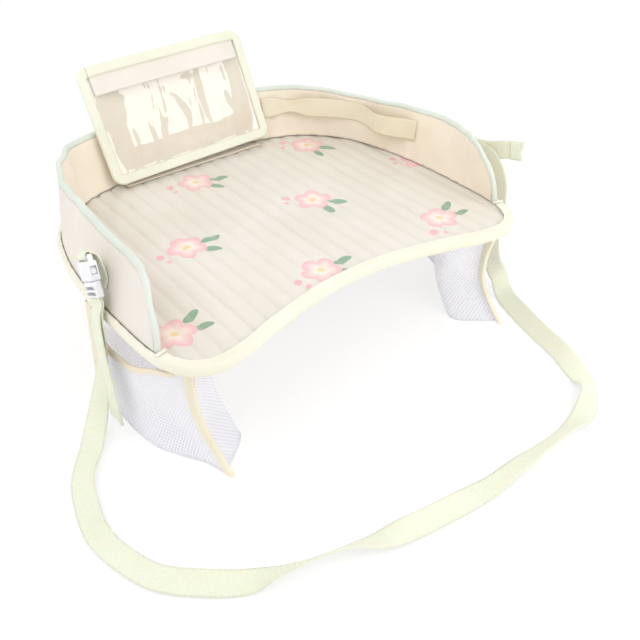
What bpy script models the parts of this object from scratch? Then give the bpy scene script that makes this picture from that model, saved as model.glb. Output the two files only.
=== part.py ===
"""Car seat tray table: a quilted lap tray with a soft padded wall, a window pouch that leans on
the back wall, a mesh pocket under each side, and one long strap with a buckle at each end.

Metres, +Z up. The child sits at the open front and looks along +Y to the back wall, with +X on
the right. The origin is the middle of the tray's underside."""

import math

import bmesh
import bpy
import numpy as np
from mathutils import Matrix, Vector

# Shared clearances
GAP = 0.0003
OVERRUN = 0.002

# Tray. Its depth is twice its reach behind the origin, and its front stops a little short of that.
TRAY_WIDTH = 0.410
TRAY_DEPTH = 0.344
COVER_THICK = 0.0007
BOARD_THICK = 0.0024
QUILT_THICK = 0.0036
QUILT_GROOVE = 0.0020
QUILT_PITCH = 0.0168
FILM_THICK = 0.0004

# Half of the tray's outline, front middle to back middle: shares of half width and half depth
TRAY_OUTLINE_SHARES = [
    (0.000, -0.768), (0.180, -0.780), (0.330, -0.815), (0.500, -0.868), (0.660, -0.926),
    (0.800, -0.944), (0.905, -0.886), (0.975, -0.730), (1.000, -0.340), (0.995, -0.010),
    (0.962, 0.302), (0.879, 0.599), (0.697, 0.838), (0.452, 0.953), (0.200, 0.993),
    (0.000, 1.000),
]
OUTLINE_STEPS = 12
# The cloth under the tray and the film on it are pressed thinner towards their sewn edges, and
# full in the middle, as shares of the tray's width and depth
EDGE_PRESS = 0.0001
MIDDLE_SHARES = (0.52, 0.62)

# Edge binding of the tray
BINDING_THICK = 0.0009
BINDING_FRONT_WIDTH = 0.0100
BINDING_SIDE_WIDTH = 0.0040
BINDING_UNDER_WIDTH = 0.0080
BINDING_CHAMFER = 0.0004
BINDING_STEP = 0.0040

# Wall
WALL_SETBACK = 0.053
WALL_HEIGHT = 0.0535
WALL_CORNER = 0.042
WALL_CLEAR = 0.0006
WALL_CLOTH = 0.0007
WALL_BOARD = 0.0008
WALL_FOAM = 0.0024
WALL_ROWS = 3
WALL_STEPS = 48
CORNER_STEPS = 5

# How far the wall's top leans in, as shares of its height, against shares of its length
# from the left end to the right end
WALL_LEAN_SHARES = [
    (0.000, 0.090), (0.028, 0.250), (0.051, 0.330), (0.078, 0.388), (0.160, 0.370),
    (0.196, 0.335), (0.222, 0.240), (0.257, 0.130), (0.316, -0.085), (0.354, -0.330),
    (0.480, -0.374), (0.600, -0.330), (0.625, -0.290), (0.653, -0.155), (0.697, 0.000),
    (0.748, 0.110), (0.798, 0.068), (0.842, -0.107), (0.887, -0.250), (0.910, -0.183),
    (0.938, -0.052), (0.960, 0.090), (0.985, 0.180), (1.000, 0.180),
]

# Piping along the wall's top and down both ends
PIPING_HALF_WIDTH = 0.0030
PIPING_PROUD = 0.0037
PIPING_SHOULDER = 0.0015
PIPING_CREST_HALF_WIDTH = 0.0017
PIPING_GAP = 0.0005

# Tabs at the wall's feet
TAB_LENGTH = 0.0035
TAB_WIDTH = 0.011
TAB_THICK = 0.0012
TAB_INSET = 0.0010

# Elastic band inside the wall
BAND_HEIGHT = 0.022
BAND_THICK = 0.0010
BAND_STEPS = 26
# Share of the wall's length, share of the wall's height at the band's middle, and how far
# the band stands off the lining as a share of its height
BAND_ROUTE_SHARES = [
    (0.620, 0.66, 0.03), (0.640, 0.68, 0.16), (0.665, 0.70, 0.34), (0.690, 0.70, 0.38),
    (0.722, 0.70, 0.22), (0.748, 0.70, 0.03), (0.768, 0.70, 0.03), (0.785, 0.68, 0.20),
    (0.803, 0.66, 0.48), (0.822, 0.64, 0.46), (0.842, 0.64, 0.16), (0.857, 0.64, 0.03),
]

# Pouch
POUCH_WIDTH = 0.197
POUCH_HEIGHT = 0.1215
POUCH_CORNER = 0.012
POUCH_LEAN = 25.5
POUCH_TILT = 1.40
POUCH_WALL_CLEAR = 0.0105
POUCH_HINGE_LIFT = 0.0047
POUCH_FOOT = 0.0015
POUCH_BINDING_WIDTH = 0.0105
POUCH_FILM = 0.0004
POUCH_BOARD = 0.0012
POUCH_CLOTH = 0.0007
POUCH_BULGE = 0.0065
POUCH_BULGE_SIDE = 0.022
POUCH_BULGE_FOOT = 0.025
POUCH_HEADER = 0.030
POUCH_HEADER_THICK = 0.0006
POUCH_BOARD_MARGIN = 0.0100
POUCH_MIDDLE_COLUMNS = 17
POUCH_ROWS = 7
HINGE_TAPE_LENGTH = 0.170
HINGE_TAPE_WIDTH = 0.012
HINGE_TAPE_THICK = 0.0006

# Mesh pockets, as shares of the tray's half width and half depth
MESH_THICK = 0.0010
POCKET_DEPTH = 0.1045
POCKET_STEPS = 18
POCKET_ROWS = 2
SEAM_DEPTH = 0.008
SEAM_BINDING_WIDTH = 0.007
POCKET_HEM_WIDTH = 0.005
POCKET_FRONT_HEAD_SHARE = (0.878, -0.848)
POCKET_FRONT_FOOT_SHARE = (0.820, -1.000)
POCKET_REAR_HEAD_SHARE = (0.990, -0.040)
POCKET_REAR_FOOT_SHARE = (1.010, -0.010)
POCKET_FRONT_SEAM_TURN = -110.0
POCKET_REAR_SEAM_TURN = 70.0
POCKET_OUTER_HEAD_SHARES = [
    (0.938, -0.765), (0.966, -0.670), (0.990, -0.540), (0.998, -0.400), (0.998, -0.230),
]
POCKET_OUTER_FOOT_SHARES = [
    (0.870, -0.840), (0.925, -0.735), (0.976, -0.620), (1.004, -0.471), (1.012, -0.250),
]
POCKET_INNER_HEAD_SHARES = [
    (0.810, -0.758), (0.725, -0.695), (0.720, -0.590), (0.800, -0.450), (0.930, -0.250),
]
POCKET_INNER_FOOT_SHARES = [
    (0.740, -0.880), (0.660, -0.770), (0.720, -0.630), (0.840, -0.460), (0.960, -0.250),
]
# The front seam is drawn back at its waist, a share of the way down, and that fades out
# between two shares of the way to the rear seam
POCKET_WAIST = 0.026
POCKET_WAIST_SHARE = 0.62
POCKET_WAIST_FADE_SHARES = (0.12, 0.75)
# How far the pocket's hem drops, as shares of the pocket's depth, front seam to rear seam
POCKET_HEM_SHARES = [
    (0.00, 0.035), (0.12, 0.060), (0.25, 0.130), (0.45, 0.250), (0.65, 0.265), (0.86, 0.280),
    (1.00, 0.060),
]

# Side release buckle: along it, Y runs from the plug to the socket, Z is its thickness
BUCKLE_WIDTH = 0.025
BUCKLE_THICK = 0.0085
BUCKLE_EDGE = 0.0012
SOCKET_LENGTH = 0.0165
SOCKET_WALL = 0.0020
SOCKET_CAVITY_LENGTH = 0.0140
SOCKET_CAVITY_HEIGHT = 0.0055
SOCKET_WINDOW_START = 0.0052
SOCKET_WINDOW_LENGTH = 0.0070
LOOP_LENGTH = 0.0055
LOOP_WIDTH = 0.0240
LOOP_THICK = 0.0040
LOOP_SLOT = 0.0035
PLUG_LENGTH = 0.0140
PLUG_THICK = 0.0060
PLUG_BAR = 0.0020
PLUG_SLOT = 0.0030
PLUG_MIDDLE_BAR = 0.0018
GUIDE_WIDTH = 0.0060
GUIDE_LENGTH = 0.0115
PRONG_THICK = 0.0045
PRONG_LENGTH = 0.0125
PRONG_WIDTH = 0.0022
PRONG_SIDE_CLEAR = 0.0004
CATCH_REACH = 0.0014
CATCH_START = 0.0058
CATCH_LENGTH = 0.0056

# Where each buckle's mouth is: beyond the tray's half width, as a share of the tray's half depth,
# and above the underside. Then which way its socket end and its outer face look.
LEFT_BUCKLE_PROUD = -0.0008
LEFT_BUCKLE_DEPTH_SHARE = -0.1948
LEFT_BUCKLE_HEIGHT = 0.0335
LEFT_BUCKLE_ALONG = (0.088, 0.469, 0.880)
LEFT_BUCKLE_FACE = (-0.990, 0.000, 0.088)
RIGHT_BUCKLE_PROUD = 0.0130
RIGHT_BUCKLE_DEPTH_SHARE = -0.2750
RIGHT_BUCKLE_HEIGHT = 0.0418
RIGHT_BUCKLE_ALONG = (-0.100, 0.990, 0.050)
RIGHT_BUCKLE_FACE = (0.990, 0.100, 0.020)

# Webbing
WEB_WIDTH = 0.020
WEB_THICK = 0.0012
WEB_HEM = 0.012
WEB_LIFT = 0.0010
STRAP_FLOOR_LIFT = 0.0014
WEB_STEPS = 3
# How far behind a hanging socket its anchor comes down, as a share of the buckle's thickness
ANCHOR_BACK_SHARE = 0.8

# Strap route from the left buckle to the right one. Off the floor: x, y, height above the floor
# that the pockets reach, and the heading and rise in degrees of the webbing's width. On the
# floor: x, y and the tilt of its width from level.
STRAP_LEFT_DROP = [
    (-0.2086, -0.0450, 0.1140, -90.0, 18.0), (-0.2120, -0.0480, 0.0880, -90.0, 4.0),
    (-0.2165, -0.0480, 0.0560, -86.0, 0.0), (-0.2280, -0.0515, 0.0235, -64.0, 0.0),
    (-0.2470, -0.0715, 0.0060, -41.0, 0.0),
]
STRAP_FLOOR_ROUTE = [
    (-0.2690, -0.1000, 14.0), (-0.2795, -0.1315, 8.0), (-0.2840, -0.1620, 8.0),
    (-0.2790, -0.1920, 10.0), (-0.2670, -0.2230, 18.0), (-0.2420, -0.2500, 28.0),
    (-0.2170, -0.2660, 10.0), (-0.1960, -0.2750, -35.0), (-0.1720, -0.2830, -52.0),
    (-0.1450, -0.2910, -50.0), (-0.1200, -0.2990, -20.0), (-0.0900, -0.3070, 30.0),
    (-0.0530, -0.3120, 24.0), (-0.0080, -0.3150, -6.0), (0.0290, -0.3150, -24.0),
    (0.0620, -0.3160, -40.0), (0.0950, -0.3150, -34.0), (0.1200, -0.3100, 2.0),
    (0.1450, -0.2980, 34.0), (0.1600, -0.2780, -10.0), (0.1690, -0.2450, -52.0),
    (0.1770, -0.2120, -58.0), (0.1900, -0.1770, -40.0), (0.2060, -0.1430, -20.0),
]
STRAP_RIGHT_RISE = [
    (0.2175, -0.1230, 0.0130, -50.0, -20.0), (0.2165, -0.1100, 0.0330, -75.0, -10.0),
    (0.2150, -0.1060, 0.0640, -90.0, 0.0), (0.2160, -0.1060, 0.0890, -90.0, 4.0),
    (0.2190, -0.1045, 0.1110, -90.0, 14.0), (0.2206, -0.0970, 0.1300, -90.0, 35.0),
    (0.2205, -0.0833, 0.1428, -90.0, 66.0),
]
# Free ends of the webbing, given the same way
LEFT_TAIL_ROUTE = [
    (-0.2112, -0.0448, 0.1120, -90.0, 20.0), (-0.2165, -0.0555, 0.0840, -90.0, 14.0),
    (-0.2195, -0.0670, 0.0540, -90.0, 8.0), (-0.2205, -0.0715, 0.0215, -90.0, 2.0),
]
RIGHT_TAIL_ROUTE = [
    (0.2230, -0.0813, 0.1488, -90.0, 86.0), (0.2270, -0.0963, 0.1538, -90.0, 80.0),
    (0.2335, -0.1133, 0.1558, -80.0, 84.0),
]

# Heights of the stacked layers
BOARD_Z = COVER_THICK + GAP
QUILT_Z = BOARD_Z + BOARD_THICK + GAP
FILM_Z = QUILT_Z + QUILT_THICK + GAP
FILM_TOP = FILM_Z + FILM_THICK
LAYER_INSET = BINDING_THICK + GAP
WALL_FOOT_Z = FILM_TOP + GAP
WALL_INSET = BINDING_SIDE_WIDTH + WALL_CLEAR
OUTER_PANEL = (0.0, WALL_CLOTH)
BOARD_LAYER = (OUTER_PANEL[1] + GAP, OUTER_PANEL[1] + GAP + WALL_BOARD)
FOAM_LAYER = (BOARD_LAYER[1] + GAP, BOARD_LAYER[1] + GAP + WALL_FOAM)
LINING_LAYER = (FOAM_LAYER[1] + GAP, FOAM_LAYER[1] + GAP + WALL_CLOTH)
UNDERSIDE_Z = -GAP - BINDING_THICK - GAP
FLOOR_Z = UNDERSIDE_Z - POCKET_DEPTH


# Curves and grids

def curve_through(points, steps, closed=False):
    """Points on a centripetal Catmull-Rom curve that passes through every given point."""
    points = [np.array(p, dtype=float) for p in points]
    if closed:
        ring = [points[-1]] + points + points[:2]
    else:
        ring = [2 * points[0] - points[1]] + points + [2 * points[-1] - points[-2]]
    out = []
    for p0, p1, p2, p3 in zip(ring, ring[1:], ring[2:], ring[3:]):
        t1 = math.sqrt(np.linalg.norm(p1 - p0))
        t2 = t1 + math.sqrt(np.linalg.norm(p2 - p1))
        t3 = t2 + math.sqrt(np.linalg.norm(p3 - p2))
        for k in range(steps):
            t = t1 + (t2 - t1) * k / steps
            a1 = (t1 - t) / t1 * p0 + t / t1 * p1
            a2 = (t2 - t) / (t2 - t1) * p1 + (t - t1) / (t2 - t1) * p2
            a3 = (t3 - t) / (t3 - t2) * p2 + (t - t2) / (t3 - t2) * p3
            b1 = (t2 - t) / t2 * a1 + t / t2 * a2
            b2 = (t3 - t) / (t3 - t1) * a2 + (t - t1) / (t3 - t1) * a3
            out.append((t2 - t) / (t2 - t1) * b1 + (t - t1) / (t2 - t1) * b2)
    if not closed:
        out.append(points[-1])
    return np.array(out)


def arc_lengths(points, dims=3):
    """Distance along a line of points, from its start to each point."""
    steps = np.linalg.norm(np.diff(points[:, :dims], axis=0), axis=1)
    return np.concatenate([[0.0], np.cumsum(steps)])


def evenly(points, count, dims=3):
    """The same line with its points spread evenly."""
    lengths = arc_lengths(points, dims)
    places = np.linspace(0.0, lengths[-1], count)
    return np.column_stack([np.interp(places, lengths, column) for column in points.T])


def eased(table, place):
    """A value from a table of (place, value), eased from row to row without overshoot."""
    places = [row[0] for row in table]
    k = max(0, min(len(table) - 2, int(np.searchsorted(places, place)) - 1))
    t = (place - places[k]) / (places[k + 1] - places[k])
    t = max(0.0, min(1.0, t))
    t = t * t * (3 - 2 * t)
    return table[k][1] * (1 - t) + table[k + 1][1] * t


def ramp(value, start, end):
    """0 before start, 1 after end, eased between them."""
    t = max(0.0, min(1.0, (value - start) / (end - start)))
    return t * t * (3 - 2 * t)


# Rim of the tray

def outline_points():
    """The tray's whole outline, from the front middle round the right side."""
    half = [(x * TRAY_WIDTH / 2, y * TRAY_DEPTH / 2) for x, y in TRAY_OUTLINE_SHARES]
    return half + [(-x, y) for x, y in half[-2:0:-1]]


RIM = curve_through(outline_points(), OUTLINE_STEPS, closed=True)
RIM = np.vstack([RIM, RIM[:1]])
RIM_ARCS = arc_lengths(RIM, 2)
RIM_LENGTH = RIM_ARCS[-1]
RIM_NORMAL_REACH = RIM_LENGTH / 400


def rim_spot(arc):
    """The point of the rim at a distance from the front middle."""
    arc = arc % RIM_LENGTH
    return np.array([np.interp(arc, RIM_ARCS, RIM[:, 0]), np.interp(arc, RIM_ARCS, RIM[:, 1])])


def rim_place(arc, inset=0.0):
    """The point inside the rim by an inset, with the direction inwards."""
    along = rim_spot(arc + RIM_NORMAL_REACH) - rim_spot(arc - RIM_NORMAL_REACH)
    along /= np.linalg.norm(along)
    inwards = np.array([-along[1], along[0]])
    return rim_spot(arc) + inwards * inset, inwards


def right_wall_end():
    """Distance along the rim at which the wall's right end stands."""
    first = int(np.argmin(RIM[: len(RIM) // 2, 1]))
    last = int(np.argmax(RIM[:, 1]))
    return float(np.interp(WALL_SETBACK - TRAY_DEPTH / 2, RIM[first:last, 1], RIM_ARCS[first:last]))


WALL_RIGHT_ARC = right_wall_end()
WALL_LEFT_ARC = RIM_LENGTH - WALL_RIGHT_ARC
WALL_LENGTH = WALL_LEFT_ARC - WALL_RIGHT_ARC
BINDING_CHANGE = PIPING_PROUD + PIPING_GAP + GAP


def wall_middle():
    """Distances along the wall between its round corners."""
    return [float(m) for m in np.linspace(WALL_CORNER, WALL_LENGTH - WALL_CORNER, WALL_STEPS + 1)]


def rim_stations():
    """Distances along the rim for every piece that follows it: the wall's own stations, the
    steps in the binding's width at both wall ends, and even steps along the open front."""
    spacing = (WALL_LENGTH - 2 * WALL_CORNER) / WALL_STEPS
    beside = [WALL_LEFT_ARC - along for along in reversed(wall_stations()[1:-1])]
    front_end = WALL_RIGHT_ARC - BINDING_CHANGE - BINDING_STEP
    half = np.linspace(0.0, front_end, int(front_end / spacing) + 1)
    right = [float(arc) for arc in half] + [WALL_RIGHT_ARC - BINDING_CHANGE, WALL_RIGHT_ARC]
    left = [RIM_LENGTH - arc for arc in reversed(right[1:])]
    return right + beside + left


def binding_width(arc):
    """Width of the binding's upper flange: narrow beside the wall, wide along the open front."""
    ahead = max(WALL_RIGHT_ARC - arc, arc - WALL_LEFT_ARC)
    share = ramp(ahead, BINDING_CHANGE, BINDING_CHANGE + BINDING_STEP)
    return BINDING_SIDE_WIDTH + (BINDING_FRONT_WIDTH - BINDING_SIDE_WIDTH) * share


# Wall

def wall_place(along, up, inward):
    """A point of the wall: along it from the left end, up its slope, and in from its outer face."""
    lean = eased(WALL_LEAN_SHARES, along / WALL_LENGTH)
    rise = math.sqrt(1 - lean * lean)
    spot, _ = rim_place(WALL_LEFT_ARC - along, WALL_INSET + inward + lean * up)
    return np.array([spot[0], spot[1], WALL_FOOT_Z + rise * up])


def wall_top(along):
    """Height of the wall's edge: full height with a round corner at each end."""
    near = min(along, WALL_LENGTH - along, WALL_CORNER)
    near = max(near, 0.0)
    drop = WALL_CORNER - near
    return WALL_HEIGHT - WALL_CORNER + math.sqrt(max(WALL_CORNER * WALL_CORNER - drop * drop, 0.0))


def wall_stations():
    """Distances along the wall: close together at the round corners, even between them."""
    turns = [math.pi / 2 * k / CORNER_STEPS for k in range(CORNER_STEPS)]
    corner = [WALL_CORNER * (1 - math.cos(turn)) for turn in turns]
    return corner + wall_middle() + [WALL_LENGTH - c for c in reversed(corner)]


def wall_inner_depth(across):
    """How far back the wall's inner face stands at its foot, at a place across the tray."""
    foot = np.array([wall_place(along, 0.0, LINING_LAYER[1]) for along in wall_middle()])
    right = foot[WALL_STEPS // 2:]
    widest = int(np.argmax(right[:, 0]))
    return float(np.interp(across, right[: widest + 1, 0], right[: widest + 1, 1]))


# Objects

def material(name, colour, roughness, metallic=0.0, alpha=1.0):
    """A plain finish with the piece's own colour, given as sRGB."""
    def linear(c):
        return c / 12.92 if c <= 0.04045 else ((c + 0.055) / 1.055) ** 2.4
    finish = bpy.data.materials.new(name)
    finish.use_nodes = True
    shader = finish.node_tree.nodes["Principled BSDF"]
    rgb = [linear(int(colour[k:k + 2], 16) / 255) for k in (1, 3, 5)]
    shader.inputs["Base Color"].default_value = (*rgb, 1.0)
    shader.inputs["Roughness"].default_value = roughness
    shader.inputs["Metallic"].default_value = metallic
    shader.inputs["Alpha"].default_value = alpha
    return finish


def add_object(name, mesh, parent, colour, roughness, alpha=1.0):
    """An object of its own material under a parent."""
    piece = bpy.data.objects.new(name, mesh)
    bpy.context.collection.objects.link(piece)
    piece.parent = parent
    mesh.materials.append(material(name, colour, roughness, alpha=alpha))
    return piece


def add_empty(name, parent=None):
    """A frame that carries pieces."""
    empty = bpy.data.objects.new(name, None)
    bpy.context.collection.objects.link(empty)
    empty.parent = parent
    return empty


def closed_mesh(name, vertices, faces):
    """A mesh whose faces all point outwards."""
    mesh = bpy.data.meshes.new(name)
    mesh.from_pydata([tuple(v) for v in vertices], [], faces)
    work = bmesh.new()
    work.from_mesh(mesh)
    bmesh.ops.recalc_face_normals(work, faces=work.faces)
    work.to_mesh(mesh)
    work.free()
    return mesh


def slab_mesh(name, near, far):
    """A sheet between two grids of the same shape. Both sides are split along the same
    diagonals, so that a thin sheet keeps its thickness where it twists."""
    rows, columns = len(near), len(near[0])
    vertices = [p for row in near for p in row] + [p for row in far for p in row]
    offset = rows * columns
    faces = []
    for i in range(rows - 1):
        for j in range(columns - 1):
            a, b = i * columns + j, i * columns + j + 1
            c, d = a + columns, b + columns
            faces += [(a, b, d), (a, d, c)]
            faces += [(a + offset, d + offset, b + offset), (a + offset, c + offset, d + offset)]
    edge = [i * columns for i in range(rows)]
    edge += [(rows - 1) * columns + j for j in range(1, columns)]
    edge += [i * columns + columns - 1 for i in range(rows - 2, -1, -1)]
    edge += [j for j in range(columns - 2, 0, -1)]
    for a, b in zip(edge, edge[1:] + edge[:1]):
        faces.append((a, b, b + offset, a + offset))
    return closed_mesh(name, vertices, faces)


def loft_mesh(name, rings, closed=False):
    """A solid through rings of the same number of points, capped unless it closes on itself."""
    size, count = len(rings[0]), len(rings)
    vertices = [p for ring in rings for p in ring]
    faces = []
    for i in range(count if closed else count - 1):
        first, second = i * size, (i + 1) % count * size
        for k in range(size):
            n = (k + 1) % size
            faces.append((first + k, first + n, second + n, second + k))
    if not closed:
        faces.append(tuple(range(size)))
        faces.append(tuple(range((count - 1) * size, count * size)))
    return closed_mesh(name, vertices, faces)


def plate_mesh(name, outline, bottom, top):
    """A flat plate: its outline filled and extruded."""
    mesh = bpy.data.meshes.new(name)
    work = bmesh.new()
    loop = [work.verts.new((p[0], p[1], bottom)) for p in outline]
    face = work.faces.new(loop)
    made = bmesh.ops.extrude_face_region(work, geom=[face])
    moved = [v for v in made["geom"] if isinstance(v, bmesh.types.BMVert)]
    bmesh.ops.translate(work, verts=moved, vec=(0, 0, top - bottom))
    bmesh.ops.recalc_face_normals(work, faces=work.faces)
    work.to_mesh(mesh)
    work.free()
    return mesh


def box_mesh(name, size, centre=(0, 0, 0)):
    """A box of a size about a centre."""
    mesh = bpy.data.meshes.new(name)
    work = bmesh.new()
    place = Matrix.Translation(centre) @ Matrix.Diagonal((*size, 1))
    bmesh.ops.create_cube(work, size=1, matrix=place)
    work.to_mesh(mesh)
    work.free()
    return mesh


def combine(piece, size, centre, operation):
    """Cuts a box out of a piece, or joins one to it."""
    name = piece.name + "_" + operation.lower()
    other = bpy.data.objects.new(name, box_mesh(name, size, centre))
    bpy.context.collection.objects.link(other)
    other.parent = piece.parent
    other.location = piece.location
    other.hide_render = True
    other.display_type = "WIRE"
    step = piece.modifiers.new(operation.title(), "BOOLEAN")
    step.operation = operation
    step.object = other


def ribbon_mesh(name, stations, width, thicks):
    """A flat strap. Each station holds its centre and its half width vector."""
    centres, sides = stations[:, :3], stations[:, 3:]
    tangents = np.gradient(centres, axis=0)
    for end in (0, -1):
        tangents[end] -= sides[end] * (tangents[end] @ sides[end]) / (sides[end] @ sides[end])
    near, far = [], []
    for centre, side, tangent, thick in zip(centres, sides, tangents, thicks):
        tangent = tangent / np.linalg.norm(tangent)
        side = side - tangent * (side @ tangent)
        side = side / np.linalg.norm(side) * width / 2
        face = np.cross(tangent, side)
        face = face / np.linalg.norm(face) * thick / 2
        near.append([centre - side + face, centre + face, centre + side + face])
        far.append([centre - side - face, centre - face, centre + side - face])
    return slab_mesh(name, near, far)


# Tray pieces

def tray_layer(name, bottom, top, parent, colour, roughness, alpha=1.0):
    """A flat layer of the tray, inside the binding."""
    outline = [rim_place(arc, LAYER_INSET)[0] for arc in rim_stations()]
    mesh = plate_mesh(name, outline, bottom, top)
    return add_object(name, mesh, parent, colour, roughness, alpha)


def full_middle(layer, bottom, top):
    """Gives a layer its full thickness in the middle of the tray."""
    across, deep = (share * size for share, size in zip(MIDDLE_SHARES, (TRAY_WIDTH, TRAY_DEPTH)))
    combine(layer, (across, deep, top - bottom), (0, 0, (bottom + top) / 2), "UNION")


def edge_depths(x):
    """Front and back edge of the tray's layers at a place across it."""
    half = np.array([rim_place(arc, LAYER_INSET + GAP)[0] for arc in rim_stations()
                     if arc <= RIM_LENGTH / 2 + GAP])
    widest = int(np.argmax(half[:, 0]))
    front = np.interp(abs(x), half[: widest + 1, 0], half[: widest + 1, 1])
    back = np.interp(abs(x), half[widest:, 0][::-1], half[widest:, 1][::-1])
    return front, back


def quilt_columns():
    """Places across the quilting: each sewn line, and three on the crown between two lines."""
    reach = TRAY_WIDTH / 2 - LAYER_INSET - 3 * GAP
    lines = int(reach / QUILT_PITCH)
    inner = [QUILT_PITCH * k / 4 for k in range(-4 * lines, 4 * lines + 1)]
    spare = reach - lines * QUILT_PITCH
    ends = [lines * QUILT_PITCH + spare * k / 3 for k in (1, 2, 3)]
    return [-e for e in reversed(ends)] + inner + ends


def make_quilt(parent):
    """Padded cloth with straight sewn channels that run from front to back."""
    top, bottom = [], []
    for x in quilt_columns():
        ys = edge_depths(x)
        crown = math.sqrt(abs(math.sin(math.pi * x / QUILT_PITCH)))
        height = QUILT_Z + QUILT_THICK - QUILT_GROOVE * (1 - crown)
        top.append([(x, y, height) for y in ys])
        bottom.append([(x, y, QUILT_Z) for y in ys])
    add_object("quilted_top", slab_mesh("quilted_top", top, bottom), parent, "#EDE4DA", 0.75)


def make_rim_binding(parent):
    """Binding folded round the tray's edge."""
    low, high = -GAP - BINDING_THICK, FILM_TOP + GAP + BINDING_THICK
    rings = []
    for arc in rim_stations():
        width = binding_width(arc)
        profile = [
            (0, low + BINDING_CHAMFER), (0, high - BINDING_CHAMFER), (BINDING_CHAMFER, high),
            (width, high), (width, high - BINDING_THICK), (BINDING_THICK, high - BINDING_THICK),
            (BINDING_THICK, low + BINDING_THICK), (BINDING_UNDER_WIDTH, low + BINDING_THICK),
            (BINDING_UNDER_WIDTH, low), (BINDING_CHAMFER, low),
        ]
        rings.append([(*rim_place(arc, inset)[0], z) for inset, z in profile])
    mesh = loft_mesh("rim_binding", rings, closed=True)
    add_object("rim_binding", mesh, parent, "#F3F0DA", 0.7)


# Wall pieces

def make_wall_layer(name, layer, parent, colour, roughness):
    """One layer of the wall, between two depths from its outer face."""
    near, far = [], []
    for along in wall_stations():
        ups = [wall_top(along) * k / WALL_ROWS for k in range(WALL_ROWS + 1)]
        near.append([wall_place(along, up, layer[0]) for up in ups])
        far.append([wall_place(along, up, layer[1]) for up in ups])
    add_object(name, slab_mesh(name, near, far), parent, colour, roughness)


def piping_route():
    """The wall's edge as (along, up, out along, out up): up the left end, over, down the right."""
    foot = WALL_HEIGHT - WALL_CORNER
    route = [(0.0, foot * k / 2, -1.0, 0.0) for k in range(2)]
    for k in range(CORNER_STEPS):
        turn = math.pi / 2 * k / CORNER_STEPS
        route.append((WALL_CORNER * (1 - math.cos(turn)), foot + WALL_CORNER * math.sin(turn),
                      -math.cos(turn), math.sin(turn)))
    for along in np.linspace(WALL_CORNER, WALL_LENGTH / 2, WALL_STEPS // 2 + 1):
        route.append((float(along), WALL_HEIGHT, 0.0, 1.0))
    mirrored = [(WALL_LENGTH - a, up, -oa, ou) for a, up, oa, ou in reversed(route[:-1])]
    return route + mirrored


def make_piping(parent):
    """Piping that closes the wall's layers along their top and both ends."""
    middle = LINING_LAYER[1] / 2
    profile = [
        (-PIPING_HALF_WIDTH, PIPING_GAP), (PIPING_HALF_WIDTH, PIPING_GAP),
        (PIPING_HALF_WIDTH, PIPING_GAP + PIPING_SHOULDER),
        (PIPING_CREST_HALF_WIDTH, PIPING_GAP + PIPING_PROUD),
        (-PIPING_CREST_HALF_WIDTH, PIPING_GAP + PIPING_PROUD),
        (-PIPING_HALF_WIDTH, PIPING_GAP + PIPING_SHOULDER),
    ]
    rings = []
    for along, up, out_along, out_up in piping_route():
        rings.append([wall_place(along + out * out_along, up + out * out_up, middle + across)
                      for across, out in profile])
    add_object("wall_piping", loft_mesh("wall_piping", rings), parent, "#DFE6DC", 0.65)


def make_end_tab(name, side, parent):
    """Small tab across the binding at the foot of one wall end."""
    start = BINDING_CHANGE + GAP
    base = FILM_TOP + GAP + BINDING_THICK + GAP
    near, far = [], []
    for ahead in (start, start + TAB_LENGTH):
        arc = WALL_RIGHT_ARC - ahead if side > 0 else WALL_LEFT_ARC + ahead
        spots = [rim_place(arc, TAB_INSET + TAB_WIDTH * share)[0] for share in (0, 1)]
        near.append([(*spot, base) for spot in spots])
        far.append([(*spot, base + TAB_THICK) for spot in spots])
    add_object(name, slab_mesh(name, near, far), parent, "#F3F0DA", 0.7)


def make_band(parent):
    """Elastic band that stands off the lining between its stitches."""
    face = LINING_LAYER[1] + GAP + WALL_CLEAR
    route = []
    for along, up, off in BAND_ROUTE_SHARES:
        spots = [wall_place(along * WALL_LENGTH, up * WALL_HEIGHT + step * BAND_HEIGHT / 2,
                            face + off * BAND_HEIGHT) for step in (-1, 1)]
        route.append(np.concatenate([(spots[0] + spots[1]) / 2, (spots[1] - spots[0]) / 2]))
    stations = evenly(curve_through(route, OUTLINE_STEPS), BAND_STEPS)
    mesh = ribbon_mesh("elastic_band", stations, BAND_HEIGHT, [BAND_THICK] * BAND_STEPS)
    add_object("elastic_band", mesh, parent, "#F3E8CE", 0.8)


# Pouch pieces, in a frame of their own: X across, Y from the front face to the back, Z up

FILM_Y = BINDING_THICK + GAP
POUCH_BOARD_Y = FILM_Y + POUCH_FILM + GAP
POUCH_CLOTH_Y = POUCH_BOARD_Y + POUCH_BOARD + GAP
POUCH_BACK_Y = POUCH_CLOTH_Y + POUCH_CLOTH + GAP
POUCH_THICK = POUCH_BACK_Y + BINDING_THICK
LIP_REACH = POUCH_WIDTH / 2 - POUCH_CORNER - GAP


def pouch_bulge(x, z):
    """How far the window stands forward of its edge."""
    across = ramp(LIP_REACH - abs(x), 0.0, POUCH_BULGE_SIDE)
    up = ramp(z, POUCH_BINDING_WIDTH, POUCH_BINDING_WIDTH + POUCH_BULGE_FOOT)
    return POUCH_BULGE * across * up


def pouch_low(x, inset):
    """Height of the pouch's lower edge at a place across it, with its round corner. The upper
    edge is the same, turned over."""
    radius = POUCH_CORNER - inset
    near = min(POUCH_WIDTH / 2 - inset - abs(x), radius)
    drop = radius - max(near, 0.0)
    return inset + radius - math.sqrt(max(radius * radius - drop * drop, 0.0))


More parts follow.
